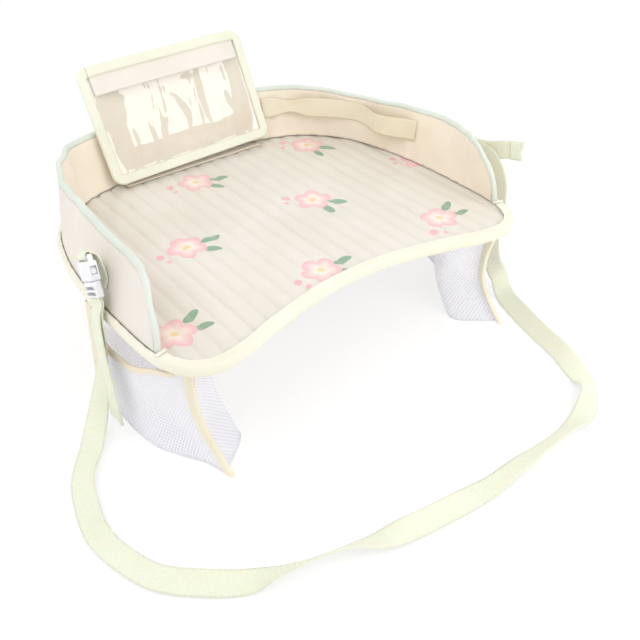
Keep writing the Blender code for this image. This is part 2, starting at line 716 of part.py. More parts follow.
def pouch_columns(inset):
    """Places across the pouch, closer at its round corners."""
    reach = POUCH_WIDTH / 2 - inset
    radius = POUCH_CORNER - inset
    turns = [math.pi / 2 * k / CORNER_STEPS for k in range(CORNER_STEPS)]
    corner = [reach - radius * (1 - math.cos(turn)) for turn in turns]
    middle = np.linspace(reach - radius, radius - reach, POUCH_MIDDLE_COLUMNS)
    return corner + [float(m) for m in middle] + [-c for c in reversed(corner)]


def lip_columns():
    """Places across the mouth's pieces, at the window's own columns between its corners."""
    middle = np.linspace(-1.0, 1.0, POUCH_MIDDLE_COLUMNS) * (POUCH_WIDTH / 2 - POUCH_CORNER)
    return [-LIP_REACH] + [float(m) for m in middle[1:-1]] + [LIP_REACH]


def pouch_sheet(name, inset, front, thick, bulging=False):
    """A sheet of the pouch, flat or bulging with the window."""
    near, far = [], []
    for x in pouch_columns(inset):
        low = pouch_low(x, inset)
        heights = [low, POUCH_HEIGHT - low]
        if bulging:
            clear = POUCH_CORNER + GAP
            heights = [low] + [float(z) for z in np.linspace(clear, POUCH_HEIGHT - clear, POUCH_ROWS)]
            heights.append(POUCH_HEIGHT - low)
        outs = [pouch_bulge(x, z) if bulging else 0.0 for z in heights]
        near.append([(x, front - out, z) for z, out in zip(heights, outs)])
        far.append([(x, front + thick - out, z) for z, out in zip(heights, outs)])
    return slab_mesh(name, near, far)


def place_in_pouch(piece):
    """Sets a pouch piece's foot just above the fold line, a little askew as it hangs."""
    piece.location = (0, -POUCH_THICK / 2, POUCH_FOOT)
    piece.rotation_euler = (0, -math.radians(POUCH_TILT), 0)


def pouch_edge():
    """The pouch's outer edge from the mouth's left end round the bottom to its right end, with
    its way inwards."""
    side = POUCH_WIDTH / 2
    corner = []
    for k in range(CORNER_STEPS + 1):
        turn = math.pi / 2 * k / CORNER_STEPS
        corner.append((-side + POUCH_CORNER * (1 - math.cos(turn)),
                       POUCH_CORNER * (1 - math.sin(turn)), math.cos(turn), math.sin(turn)))
    route = [(x, POUCH_HEIGHT - z, ix, -iz) for x, z, ix, iz in reversed(corner)]
    route += [(-side, POUCH_HEIGHT / 2, 1.0, 0.0)] + corner
    return route + [(-x, z, -ix, iz) for x, z, ix, iz in reversed(route)]


def make_pouch_binding(parent):
    """Binding folded round the pouch's sides and bottom."""
    profile = [
        (0, 0), (POUCH_BINDING_WIDTH, 0), (POUCH_BINDING_WIDTH, BINDING_THICK),
        (BINDING_THICK, BINDING_THICK), (BINDING_THICK, POUCH_BACK_Y),
        (POUCH_BINDING_WIDTH, POUCH_BACK_Y), (POUCH_BINDING_WIDTH, POUCH_THICK), (0, POUCH_THICK),
    ]
    rings = [[(x + ix * inset, y, z + iz * inset) for inset, y in profile]
             for x, z, ix, iz in pouch_edge()]
    piece = add_object("pouch_binding", loft_mesh("pouch_binding", rings), parent, "#EAEDD2", 0.7)
    place_in_pouch(piece)


def make_lip(name, parent, forward):
    """Bound upper edge of the window or of the back cloth: a face strip with a turned top."""
    low = POUCH_HEIGHT - POUCH_BINDING_WIDTH
    turned = POUCH_HEIGHT - BINDING_THICK
    rings = []
    for x in lip_columns():
        if forward:
            back = FILM_Y + POUCH_FILM - pouch_bulge(x, POUCH_HEIGHT)
            rear = back - POUCH_FILM - GAP - POUCH_HEADER_THICK - GAP
            front = rear - BINDING_THICK
            section = [(front, low), (rear, low), (rear, turned), (back, turned),
                       (back, POUCH_HEIGHT), (front, POUCH_HEIGHT)]
        else:
            section = [(POUCH_THICK, low), (POUCH_BACK_Y, low), (POUCH_BACK_Y, turned),
                       (POUCH_CLOTH_Y, turned), (POUCH_CLOTH_Y, POUCH_HEIGHT), (POUCH_THICK, POUCH_HEIGHT)]
        rings.append([(x, y, z) for y, z in section])
    piece = add_object(name, loft_mesh(name, rings), parent, "#EAEDD2", 0.7)
    place_in_pouch(piece)


def make_header(parent):
    """Cloth strip on the window, under its bound upper edge."""
    heights = [POUCH_HEIGHT - POUCH_HEADER, POUCH_HEIGHT - BINDING_THICK - GAP]
    near, far = [], []
    for x in lip_columns():
        faces = [FILM_Y - GAP - pouch_bulge(x, z) for z in heights]
        near.append([(x, y, z) for y, z in zip(faces, heights)])
        far.append([(x, y - POUCH_HEADER_THICK, z) for y, z in zip(faces, heights)])
    piece = add_object("pouch_header", slab_mesh("pouch_header", near, far), parent, "#E8DCD6", 0.75)
    place_in_pouch(piece)


def make_pouch(tray):
    """Window pouch that leans on the back wall and folds forward about its lower edge."""
    hinge_y = wall_inner_depth(POUCH_WIDTH / 2) - POUCH_WALL_CLEAR
    fold = add_empty("pouch_fold_axis", tray)
    fold.location = (0, hinge_y, WALL_FOOT_Z + POUCH_HINGE_LIFT)
    fold.rotation_euler = (-math.radians(POUCH_LEAN), 0, 0)
    inner = BINDING_THICK + GAP
    window = pouch_sheet("pouch_window", inner, FILM_Y, POUCH_FILM, bulging=True)
    cloth = pouch_sheet("pouch_back", inner, POUCH_CLOTH_Y, POUCH_CLOTH)
    board = pouch_sheet("pouch_board", POUCH_BOARD_MARGIN, POUCH_BOARD_Y, POUCH_BOARD)
    place_in_pouch(add_object("pouch_window", window, fold, "#E8E0D2", 0.2, alpha=0.35))
    place_in_pouch(add_object("pouch_back", cloth, fold, "#E6DCCB", 0.8))
    place_in_pouch(add_object("pouch_board", board, fold, "#D9D6CE", 0.6))
    make_header(fold)
    make_pouch_binding(fold)
    make_lip("pouch_front_lip", fold, forward=True)
    make_lip("pouch_back_lip", fold, forward=False)
    tape = box_mesh("pouch_hinge_tape", (HINGE_TAPE_LENGTH, HINGE_TAPE_WIDTH, HINGE_TAPE_THICK))
    piece = add_object("pouch_hinge_tape", tape, tray, "#EAEDD2", 0.7)
    piece.location = (0, hinge_y, WALL_FOOT_Z + HINGE_TAPE_THICK / 2)


# Mesh pockets

def plan_point(share):
    """A point given as shares of the tray's half width and half depth."""
    return np.array([share[0] * TRAY_WIDTH / 2, share[1] * TRAY_DEPTH / 2])


def heading(degrees):
    """A level direction and the one on its left."""
    turn = math.radians(degrees)
    ahead = np.array([math.cos(turn), math.sin(turn)])
    return ahead, np.array([-ahead[1], ahead[0]])


def pocket_line(front, middles, rear, side):
    """A pocket panel's line in plan, from the front seam's edge to the rear seam's edge.
    Side is 1 for the outer panel and -1 for the inner one, which lie face to face in a seam."""
    out_front, left_front = heading(POCKET_FRONT_SEAM_TURN)
    out_rear, left_rear = heading(POCKET_REAR_SEAM_TURN)
    apart = (MESH_THICK + GAP) / 2 * side
    first = plan_point(front) + left_front * apart
    last = plan_point(rear) - left_rear * apart
    inner = [first - out_front * SEAM_DEPTH] + [plan_point(m) for m in middles]
    inner.append(last - out_rear * SEAM_DEPTH)
    body = evenly(curve_through(inner, OUTLINE_STEPS), POCKET_STEPS, 2)
    return np.vstack([first, body, last])


def line_normals(line):
    """The level direction on the right of a line in plan, at each of its points."""
    tangents = np.gradient(line, axis=0)
    tangents /= np.linalg.norm(tangents, axis=1)[:, None]
    return np.column_stack([tangents[:, 1], -tangents[:, 0]])


def drawn_back(share, t):
    """How far the waist draws a pocket back, at a share of the way round and one down it."""
    near = 1 - ramp(share, *POCKET_WAIST_FADE_SHARES)
    fall = min(t / POCKET_WAIST_SHARE, (1 - t) / (1 - POCKET_WAIST_SHARE))
    return np.array([0.0, POCKET_WAIST * near * max(fall, 0.0)])


def pocket_heights(top):
    """Shares of the pocket's depth at its rows, one of them at the waist."""
    upper = [top + (POCKET_WAIST_SHARE - top) * row / POCKET_ROWS for row in range(POCKET_ROWS)]
    return upper + [POCKET_WAIST_SHARE + (1 - POCKET_WAIST_SHARE) * row / POCKET_ROWS
                    for row in range(POCKET_ROWS + 1)]


def pocket_grid(head, foot, tops, shift, side):
    """Points of a panel between its head line and its foot line, moved along its normal."""
    head_normals, foot_normals = line_normals(head), line_normals(foot)
    grid = []
    for k, top in enumerate(tops):
        column = []
        for t in pocket_heights(top):
            spot = head[k] * (1 - t) + foot[k] * t + drawn_back(k / (len(tops) - 1), t)
            spot = spot + (head_normals[k] * (1 - t) + foot_normals[k] * t) * shift
            column.append((side * spot[0], spot[1], UNDERSIDE_Z - POCKET_DEPTH * t))
        grid.append(column)
    return grid


def seam_profile():
    """Section of a seam's binding: across the seam, and back from its edge."""
    inner = MESH_THICK + GAP / 2 + GAP
    outer = inner + BINDING_THICK
    edge = GAP + BINDING_THICK
    return [(-outer, -edge), (outer, -edge), (outer, SEAM_BINDING_WIDTH), (inner, SEAM_BINDING_WIDTH),
            (inner, -GAP), (-inner, -GAP), (-inner, SEAM_BINDING_WIDTH), (-outer, SEAM_BINDING_WIDTH)]


def make_seam_binding(name, head, foot, turn, share, side, parent):
    """Binding folded round one upright seam of a pocket."""
    ahead, left = heading(turn)
    rings = []
    for t in pocket_heights(0.0):
        spot = plan_point(head) * (1 - t) + plan_point(foot) * t + drawn_back(share, t)
        z = UNDERSIDE_Z - POCKET_DEPTH * t
        places = [spot + left * across - ahead * back for across, back in seam_profile()]
        rings.append([(side * p[0], p[1], z) for p in places])
    add_object(name, loft_mesh(name, rings), parent, "#EDE6CF", 0.75)


def make_hem(name, head, foot, tops, side, parent):
    """Binding folded over the outer panel's upper edge."""
    inner = MESH_THICK / 2 + GAP
    outer = inner + BINDING_THICK
    profile = [(-outer, POCKET_HEM_WIDTH), (-outer, -GAP - BINDING_THICK), (outer, -GAP - BINDING_THICK),
               (outer, POCKET_HEM_WIDTH), (inner, POCKET_HEM_WIDTH), (inner, -GAP), (-inner, -GAP),
               (-inner, POCKET_HEM_WIDTH)]
    head_normals, foot_normals = line_normals(head), line_normals(foot)
    rings = []
    for k in range(2, len(tops) - 2):
        ring = []
        for across, down in profile:
            t = tops[k] + down / POCKET_DEPTH
            spot = head[k] * (1 - t) + foot[k] * t + drawn_back(k / (len(tops) - 1), t)
            spot = spot + (head_normals[k] * (1 - t) + foot_normals[k] * t) * across
            ring.append((side * spot[0], spot[1], UNDERSIDE_Z - POCKET_DEPTH * t))
        rings.append(ring)
    add_object(name, loft_mesh(name, rings), parent, "#E3CBAE", 0.75)


def make_pocket(side_name, side, parent):
    """Mesh pocket under one side of the tray, open at its outer top."""
    ends_head = (POCKET_FRONT_HEAD_SHARE, POCKET_REAR_HEAD_SHARE)
    ends_foot = (POCKET_FRONT_FOOT_SHARE, POCKET_REAR_FOOT_SHARE)
    outer_head = pocket_line(ends_head[0], POCKET_OUTER_HEAD_SHARES, ends_head[1], 1)
    outer_foot = pocket_line(ends_foot[0], POCKET_OUTER_FOOT_SHARES, ends_foot[1], 1)
    inner_head = pocket_line(ends_head[0], POCKET_INNER_HEAD_SHARES, ends_head[1], -1)
    inner_foot = pocket_line(ends_foot[0], POCKET_INNER_FOOT_SHARES, ends_foot[1], -1)
    count = len(outer_head)
    tops = [eased(POCKET_HEM_SHARES, k / (count - 1)) for k in range(count)]
    half = MESH_THICK / 2
    colour = "#E9E8F2"
    name = side_name + "_pocket_outer"
    mesh = slab_mesh(name, pocket_grid(outer_head, outer_foot, tops, half, side),
                     pocket_grid(outer_head, outer_foot, tops, -half, side))
    add_object(name, mesh, parent, colour, 0.85)
    name = side_name + "_pocket_inner"
    flat = [0.0] * count
    mesh = slab_mesh(name, pocket_grid(inner_head, inner_foot, flat, half, side),
                     pocket_grid(inner_head, inner_foot, flat, -half, side))
    add_object(name, mesh, parent, colour, 0.85)
    make_pocket_bottom(side_name + "_pocket_bottom", outer_foot, inner_foot, side, parent, colour)
    make_hem(side_name + "_pocket_hem", outer_head, outer_foot, tops, side, parent)
    make_seam_binding(side_name + "_pocket_front_binding", *(ends_head[0], ends_foot[0]),
                      POCKET_FRONT_SEAM_TURN, 0.0, side, parent)
    make_seam_binding(side_name + "_pocket_rear_binding", *(ends_head[1], ends_foot[1]),
                      POCKET_REAR_SEAM_TURN, 1.0, side, parent)


def make_pocket_bottom(name, outer_foot, inner_foot, side, parent, colour):
    """Flat bottom of a pocket, inside its two panels."""
    clear = MESH_THICK / 2 + GAP
    outer = outer_foot - line_normals(outer_foot) * clear
    inner = inner_foot + line_normals(inner_foot) * clear
    near, far = [], []
    for k in range(3, len(outer) - 3):
        spots = [outer[k] * (1 - t) + inner[k] * t for t in (0.0, 0.5, 1.0)]
        back = drawn_back(k / (len(outer) - 1), 1 - MESH_THICK / POCKET_DEPTH)
        near.append([(side * s[0], s[1], FLOOR_Z) for s in spots])
        far.append([(side * s[0], s[1] + back[1], FLOOR_Z + MESH_THICK) for s in spots])
    add_object(name, slab_mesh(name, near, far), parent, colour, 0.85)


# Buckles

def buckle_frame(name, place, along, face, parent):
    """An empty at the socket's mouth: Y to the socket's loop, Z out of the buckle's face."""
    y = Vector(along).normalized()
    z = Vector(face)
    z = (z - y * z.dot(y)).normalized()
    x = y.cross(z)
    empty = add_empty(name, parent)
    turn = Matrix((x, y, z)).transposed().to_4x4()
    empty.location = place
    empty.rotation_euler = turn.to_euler()
    return empty, Matrix.Translation(place) @ turn


def make_socket(name, frame):
    """Socket with its cavity, its two side windows and its webbing loop."""
    mesh = box_mesh(name, (BUCKLE_WIDTH, SOCKET_LENGTH, BUCKLE_THICK), (0, SOCKET_LENGTH / 2, 0))
    piece = add_object(name, mesh, frame, "#F2F2EC", 0.35)
    edge = piece.modifiers.new("Edges", "BEVEL")
    edge.width = BUCKLE_EDGE
    edge.segments = 2
    edge.limit_method = "ANGLE"
    loop_centre = SOCKET_LENGTH - OVERRUN / 2 + LOOP_LENGTH / 2
    combine(piece, (LOOP_WIDTH, LOOP_LENGTH + OVERRUN, LOOP_THICK),
            (0, loop_centre, 0), "UNION")
    cavity_width = BUCKLE_WIDTH - 2 * SOCKET_WALL
    combine(piece, (cavity_width, SOCKET_CAVITY_LENGTH + OVERRUN, SOCKET_CAVITY_HEIGHT),
            (0, (SOCKET_CAVITY_LENGTH - OVERRUN) / 2, 0), "DIFFERENCE")
    window = SOCKET_WINDOW_START + SOCKET_WINDOW_LENGTH / 2
    combine(piece, (BUCKLE_WIDTH + OVERRUN, SOCKET_WINDOW_LENGTH, SOCKET_CAVITY_HEIGHT),
            (0, window, 0), "DIFFERENCE")
    combine(piece, (WEB_WIDTH + 2 * GAP, LOOP_SLOT, BUCKLE_THICK + OVERRUN),
            (0, SOCKET_LENGTH + LOOP_SLOT / 2, 0), "DIFFERENCE")


def make_plug(name, frame):
    """Plug: its ladder lock with two slots, and the guide that enters the socket."""
    start = -GAP - PLUG_LENGTH
    mesh = box_mesh(name, (BUCKLE_WIDTH, PLUG_LENGTH, PLUG_THICK), (0, start + PLUG_LENGTH / 2, 0))
    piece = add_object(name, mesh, frame, "#F2F2EC", 0.35)
    edge = piece.modifiers.new("Edges", "BEVEL")
    edge.width = BUCKLE_EDGE
    edge.segments = 2
    edge.limit_method = "ANGLE"
    guide_length = GUIDE_LENGTH + OVERRUN
    combine(piece, (GUIDE_WIDTH, guide_length, PRONG_THICK),
            (0, -GAP - OVERRUN + guide_length / 2, 0), "UNION")
    slot = start + PLUG_BAR + PLUG_SLOT / 2
    for centre in (slot, slot + PLUG_SLOT + PLUG_MIDDLE_BAR):
        combine(piece, (WEB_WIDTH + 2 * GAP, PLUG_SLOT, PLUG_THICK + OVERRUN), (0, centre, 0), "DIFFERENCE")


def make_prong(name, frame, side):
    """Spring prong: a slim arm with a catch that shows in the socket's side window.
    Its origin is at its root, where it flexes."""
    outer = BUCKLE_WIDTH / 2 - SOCKET_WALL - PRONG_SIDE_CLEAR
    root = outer - PRONG_WIDTH / 2
    half = PRONG_WIDTH / 2
    catch_end = CATCH_START + CATCH_LENGTH
    outline = [
        (-half, 0), (half, 0), (half, CATCH_START), (half + CATCH_REACH, CATCH_START),
        (half + CATCH_REACH, CATCH_START + CATCH_LENGTH / 2), (half, catch_end),
        (half - PRONG_WIDTH / 3, PRONG_LENGTH), (-half, PRONG_LENGTH),
    ]
    outline = [(side * x, y) for x, y in outline]
    mesh = plate_mesh(name, outline, -PRONG_THICK / 2, PRONG_THICK / 2)
    piece = add_object(name, mesh, frame, "#F2F2EC", 0.35)
    piece.location = (side * root, 0, 0)


def in_frame(matrix, point):
    """A point of a buckle's frame, in the tray's."""
    return np.array(matrix @ Vector(point))


def way(matrix, direction):
    """A direction of a buckle's frame, in the tray's."""
    return np.array(matrix.to_3x3() @ Vector(direction))


def patch_station(along, up, towards):
    """Station of webbing sewn flat on the wall, heading for another place of the wall."""
    off = -GAP - WEB_THICK / 2 - WEB_LIFT
    spot = wall_place(along, up, off)
    ahead = wall_place(*towards, off) - spot
    outwards = np.cross(wall_place(along, up + WEB_THICK, off) - spot,
                        wall_place(along + WEB_THICK, up, off) - spot)
    side = np.cross(ahead, outwards)
    return np.concatenate([spot, side / np.linalg.norm(side) * WEB_WIDTH / 2])


def loop_turns(hanging):
    """Angles of the webbing round the socket's bar, in degrees from the bar's far side. A
    socket that hangs has the webbing come over the bar from behind."""
    if hanging:
        return [-50.0, -20.0, 10.0, 40.0, 70.0, 100.0, 130.0, 160.0, 190.0]
    return [-90.0, -120.0, -150.0, -180.0, -210.0, -240.0, -270.0]


def make_anchor(name, matrix, patch, hanging, parent):
    """Short webbing: sewn flat to the wall, then round the bar of the socket's loop."""
    radius = LOOP_THICK / 2 + 2 * GAP + WEB_THICK / 2
    bar = SOCKET_LENGTH + (LOOP_SLOT + LOOP_LENGTH) / 2
    side = way(matrix, (WEB_WIDTH / 2, 0, 0))
    loop = [(bar + radius * math.cos(math.radians(turn)), radius * math.sin(math.radians(turn)))
            for turn in loop_turns(hanging)]
    if hanging:
        loop.insert(0, (bar - WEB_THICK, -BUCKLE_THICK * ANCHOR_BACK_SHARE))
    else:
        loop.insert(0, (bar + WEB_WIDTH / 4, -radius))
        loop.append((bar + WEB_WIDTH / 4, radius))
    (along, up), towards = patch[1], patch[0]
    beyond = (2 * along - towards[0], 2 * up - towards[1])
    stations = [patch_station(*towards, patch[1]), patch_station(along, up, beyond)]
    stations += [np.concatenate([in_frame(matrix, (0, y, z)), side]) for y, z in loop]
    for before, station in zip(stations, stations[1:]):
        if before[3:] @ station[3:] < 0:
            station[3:] *= -1
    curve = curve_through(stations, WEB_STEPS)
    mesh = ribbon_mesh(name, curve, WEB_WIDTH, [WEB_THICK] * len(curve))
    add_object(name, mesh, parent, "#EBEFD6", 0.8)


def plug_exit(matrix, layer):
    """Where webbing leaves a plug's end, on its inner (-1) or outer (1) face."""
    end = -GAP - PLUG_LENGTH - GAP
    return in_frame(matrix, (0, end, layer * (WEB_THICK + GAP) / 2)), -way(matrix, (0, 1, 0))


def straight_start(matrix, layer):
    """First stations of webbing, straight out of a plug's end."""
    start, out = plug_exit(matrix, layer)
    side = way(matrix, (WEB_WIDTH / 2, 0, 0))
    return [np.concatenate([start, side]), np.concatenate([start + out * WEB_WIDTH / 4, side])]


def make_tail(name, matrix, layer, route, parent):
    """Free end of the webbing with its folded hem."""
    points = straight_start(matrix, layer) + hanging_points(route)
    for before, point in zip(points, points[1:]):
        if before[3:] @ point[3:] < 0:
            point[3:] *= -1
    stations = curve_through(points, WEB_STEPS)
    lengths = arc_lengths(stations)
    thicks = [WEB_THICK * (2 if lengths[-1] - at < WEB_HEM else 1) for at in lengths]
    add_object(name, ribbon_mesh(name, stations, WEB_WIDTH, thicks), parent, "#EBEFD6", 0.8)


def width_way(heading_degrees, rise_degrees):
    """Half a width of webbing along a heading and a rise."""
    turn, rise = math.radians(heading_degrees), math.radians(rise_degrees)
    level = math.cos(rise)
    return np.array([math.cos(turn) * level, math.sin(turn) * level, math.sin(rise)]) * WEB_WIDTH / 2


def hanging_points(route):
    """Stations of the strap where it hangs between a buckle and the floor."""
    return [np.concatenate([(x, y, FLOOR_Z + up), width_way(turn, rise)]) for x, y, up, turn, rise in route]


def floor_points():
    """Stations of the strap on the floor, raised by as much as its tilted width needs."""
    points = []
    route = STRAP_FLOOR_ROUTE
    for k, (x, y, tilt) in enumerate(route):
        before, after = route[max(k - 1, 0)], route[min(k + 1, len(route) - 1)]
        turn = math.degrees(math.atan2(before[0] - after[0], after[1] - before[1]))
        side = width_way(turn + 180, tilt)
        up = abs(side[2]) + WEB_THICK / 2 + STRAP_FLOOR_LIFT
        points.append(np.concatenate([(x, y, FLOOR_Z + up), side]))
    return points


def make_strap(left, right, parent):
    """The long strap, from the left plug round in front of the tray to the right plug."""
    points = straight_start(left, -1) + hanging_points(STRAP_LEFT_DROP) + floor_points()
    points += hanging_points(STRAP_RIGHT_RISE) + straight_start(right, -1)[::-1]
    for before, point in zip(points, points[1:]):
        if before[3:] @ point[3:] < 0:
            point[3:] *= -1
    stations = curve_through(points, WEB_STEPS)
    mesh = ribbon_mesh("long_strap", stations, WEB_WIDTH, [WEB_THICK] * len(stations))
    add_object("long_strap", mesh, parent, "#EBEFD6", 0.8)


def make_buckle(side_name, place, along, face, patch, tail_layer, tail, parent):
    """One buckle with its anchor and the free end of its webbing."""
    frame, matrix = buckle_frame(side_name + "_buckle_frame", place, along, face, parent)
    make_socket(side_name + "_buckle_socket", frame)
    make_plug(side_name + "_buckle_plug", frame)
    make_prong(side_name + "_prong_a", frame, 1)
    make_prong(side_name + "_prong_b", frame, -1)
    make_anchor(side_name + "_anchor_web", matrix, patch, side_name == "left", parent)
    make_tail(side_name + "_strap_tail", matrix, tail_layer, tail, parent)
    return matrix


# Where each anchor is sewn: shares of the wall's length and height
LEFT_PATCH_SHARES = [(0.105, 0.30), (0.107, 0.47)]
RIGHT_PATCH_SHARES = [(0.862, 0.68), (0.878, 0.68)]


def wall_spots(shares):
    """Places on the wall from shares of its length and height."""
    return [(along * WALL_LENGTH, up * WALL_HEIGHT) for along, up in shares]


def clear_scene():
    """Removes whatever the file holds."""
    for old in list(bpy.data.objects):
        bpy.data.objects.remove(old, do_unlink=True)


def main():
    clear_scene()
    tray = add_empty("tray_frame")
    cover = tray_layer("bottom_cover", EDGE_PRESS, COVER_THICK, tray, "#EFE7DC", 0.85)
    full_middle(cover, 0.0, COVER_THICK / 2)
    tray_layer("board_core", BOARD_Z, BOARD_Z + BOARD_THICK, tray, "#D9D6CE", 0.6)
    make_quilt(tray)
    film = tray_layer("clear_top_film", FILM_Z, FILM_TOP - EDGE_PRESS, tray, "#F4F1EC", 0.15, alpha=0.25)
    full_middle(film, FILM_Z + FILM_THICK / 2, FILM_TOP)
    make_rim_binding(tray)
    make_wall_layer("wall_outer_panel", OUTER_PANEL, tray, "#EAE0D8", 0.8)
    make_wall_layer("wall_board", BOARD_LAYER, tray, "#D9D6CE", 0.6)
    make_wall_layer("wall_foam", FOAM_LAYER, tray, "#F2EFE6", 0.9)
    make_wall_layer("wall_lining", LINING_LAYER, tray, "#EEDFCB", 0.8)
    make_piping(tray)
    make_end_tab("left_end_tab", -1, tray)
    make_end_tab("right_end_tab", 1, tray)
    make_band(tray)
    make_pouch(tray)
    make_pocket("left", -1, tray)
    make_pocket("right", 1, tray)
    left_place = (-TRAY_WIDTH / 2 - LEFT_BUCKLE_PROUD, LEFT_BUCKLE_DEPTH_SHARE * TRAY_DEPTH / 2,
                  LEFT_BUCKLE_HEIGHT)
    right_place = (TRAY_WIDTH / 2 + RIGHT_BUCKLE_PROUD, RIGHT_BUCKLE_DEPTH_SHARE * TRAY_DEPTH / 2,
                   RIGHT_BUCKLE_HEIGHT)
    left = make_buckle("left", left_place, LEFT_BUCKLE_ALONG, LEFT_BUCKLE_FACE,
                       wall_spots(LEFT_PATCH_SHARES), 1, LEFT_TAIL_ROUTE, tray)
    right = make_buckle("right", right_place, RIGHT_BUCKLE_ALONG, RIGHT_BUCKLE_FACE,
                        wall_spots(RIGHT_PATCH_SHARES), 1, RIGHT_TAIL_ROUTE, tray)
    make_strap(left, right, tray)
    bpy.context.view_layer.update()


main()
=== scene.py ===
"""Car seat tray table: the fine surface of the quilted lap tray, its padded wall, window pouch,
mesh pockets, buckles and webbing. Metres, +Z up, the child looks along +Y."""

import math

import bmesh
import bpy
import numpy as np
from mathutils import Matrix, Vector


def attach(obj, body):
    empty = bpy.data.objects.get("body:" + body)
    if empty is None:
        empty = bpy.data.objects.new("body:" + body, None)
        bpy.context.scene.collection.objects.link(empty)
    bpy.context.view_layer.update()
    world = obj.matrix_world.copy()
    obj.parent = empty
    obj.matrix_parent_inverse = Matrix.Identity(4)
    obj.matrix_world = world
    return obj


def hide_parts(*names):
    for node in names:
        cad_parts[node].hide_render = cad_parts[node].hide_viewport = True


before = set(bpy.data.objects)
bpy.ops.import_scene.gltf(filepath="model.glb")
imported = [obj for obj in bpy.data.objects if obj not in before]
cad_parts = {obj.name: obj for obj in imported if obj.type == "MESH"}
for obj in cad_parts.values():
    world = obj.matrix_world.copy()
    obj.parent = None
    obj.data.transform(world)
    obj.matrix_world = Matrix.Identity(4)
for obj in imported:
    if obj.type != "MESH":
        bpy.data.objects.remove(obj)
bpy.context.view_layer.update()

# Clearances and layers, as the solids have them
GAP = 0.0003
TRAY_WIDTH, TRAY_DEPTH = 0.410, 0.344
COVER_THICK, BOARD_THICK, QUILT_THICK, QUILT_GROOVE = 0.0007, 0.0024, 0.0036, 0.0020
QUILT_PITCH, FILM_THICK = 0.0168, 0.0004
BINDING_THICK, BINDING_FRONT_WIDTH, BINDING_SIDE_WIDTH = 0.0009, 0.0100, 0.0040
BINDING_UNDER_WIDTH, BINDING_STEP = 0.0080, 0.0040
WALL_SETBACK, WALL_HEIGHT, WALL_CORNER, WALL_CLEAR = 0.053, 0.0535, 0.042, 0.0006
WALL_CLOTH, WALL_BOARD, WALL_FOAM = 0.0007, 0.0008, 0.0024
PIPING_HALF_WIDTH, PIPING_PROUD, PIPING_GAP = 0.0030, 0.0037, 0.0005
BOARD_Z = COVER_THICK + GAP
QUILT_Z = BOARD_Z + BOARD_THICK + GAP
FILM_Z = QUILT_Z + QUILT_THICK + GAP
FILM_TOP = FILM_Z + FILM_THICK
LAYER_INSET = BINDING_THICK + GAP
WALL_FOOT_Z = FILM_TOP + GAP
WALL_INSET = BINDING_SIDE_WIDTH + WALL_CLEAR
FOAM_START = WALL_CLOTH + GAP + WALL_BOARD + GAP
LINING_START = FOAM_START + WALL_FOAM + GAP
LINING_END = LINING_START + WALL_CLOTH
UNDERSIDE_Z = -GAP - BINDING_THICK - GAP
POCKET_DEPTH = 0.1045
FLOOR_Z = UNDERSIDE_Z - POCKET_DEPTH
WEB_WIDTH, WEB_THICK, WEB_HEM, STRAP_FLOOR_LIFT = 0.020, 0.0012, 0.012, 0.0014

TRAY_OUTLINE_SHARES = [
    (0.000, -0.768), (0.180, -0.780), (0.330, -0.815), (0.500, -0.868), (0.660, -0.926),
    (0.800, -0.944), (0.905, -0.886), (0.975, -0.730), (1.000, -0.340), (0.995, -0.010),
    (0.962, 0.302), (0.879, 0.599), (0.697, 0.838), (0.452, 0.953), (0.200, 0.993),
    (0.000, 1.000),
]
WALL_LEAN_SHARES = [
    (0.000, 0.090), (0.028, 0.250), (0.051, 0.330), (0.078, 0.388), (0.160, 0.370),
    (0.196, 0.335), (0.222, 0.240), (0.257, 0.130), (0.316, -0.085), (0.354, -0.330),
    (0.480, -0.374), (0.600, -0.330), (0.625, -0.290), (0.653, -0.155), (0.697, 0.000),
    (0.748, 0.110), (0.798, 0.068), (0.842, -0.107), (0.887, -0.250), (0.910, -0.183),
    (0.938, -0.052), (0.960, 0.090), (0.985, 0.180), (1.000, 0.180),
]


# Curves

def curve_through(points, steps, closed=False):
    """Points on a smooth curve that passes through every given point."""
    points = [np.array(p, dtype=float) for p in points]
    if closed:
        ring = [points[-1]] + points + points[:2]
    else:
        ring = [2 * points[0] - points[1]] + points + [2 * points[-1] - points[-2]]
    out = []
    for p0, p1, p2, p3 in zip(ring, ring[1:], ring[2:], ring[3:]):
        t1 = math.sqrt(np.linalg.norm(p1 - p0))
        t2 = t1 + math.sqrt(np.linalg.norm(p2 - p1))
        t3 = t2 + math.sqrt(np.linalg.norm(p3 - p2))
        for k in range(steps):
            t = t1 + (t2 - t1) * k / steps
            a1 = (t1 - t) / t1 * p0 + t / t1 * p1
            a2 = (t2 - t) / (t2 - t1) * p1 + (t - t1) / (t2 - t1) * p2
            a3 = (t3 - t) / (t3 - t2) * p2 + (t - t2) / (t3 - t2) * p3
            b1 = (t2 - t) / t2 * a1 + t / t2 * a2
            b2 = (t3 - t) / (t3 - t1) * a2 + (t - t1) / (t3 - t1) * a3
            out.append((t2 - t) / (t2 - t1) * b1 + (t - t1) / (t2 - t1) * b2)
    if not closed:
        out.append(points[-1])
    return np.array(out)


def arc_lengths(points, dims=3):
    """Distance along a line of points, from its start to each point."""
    steps = np.linalg.norm(np.diff(points[:, :dims], axis=0), axis=1)
    return np.concatenate([[0.0], np.cumsum(steps)])


def evenly(points, count, dims=3):
    """The same line with its points spread evenly."""
    lengths = arc_lengths(points, dims)
    places = np.linspace(0.0, lengths[-1], count)
    return np.column_stack([np.interp(places, lengths, column) for column in points.T])


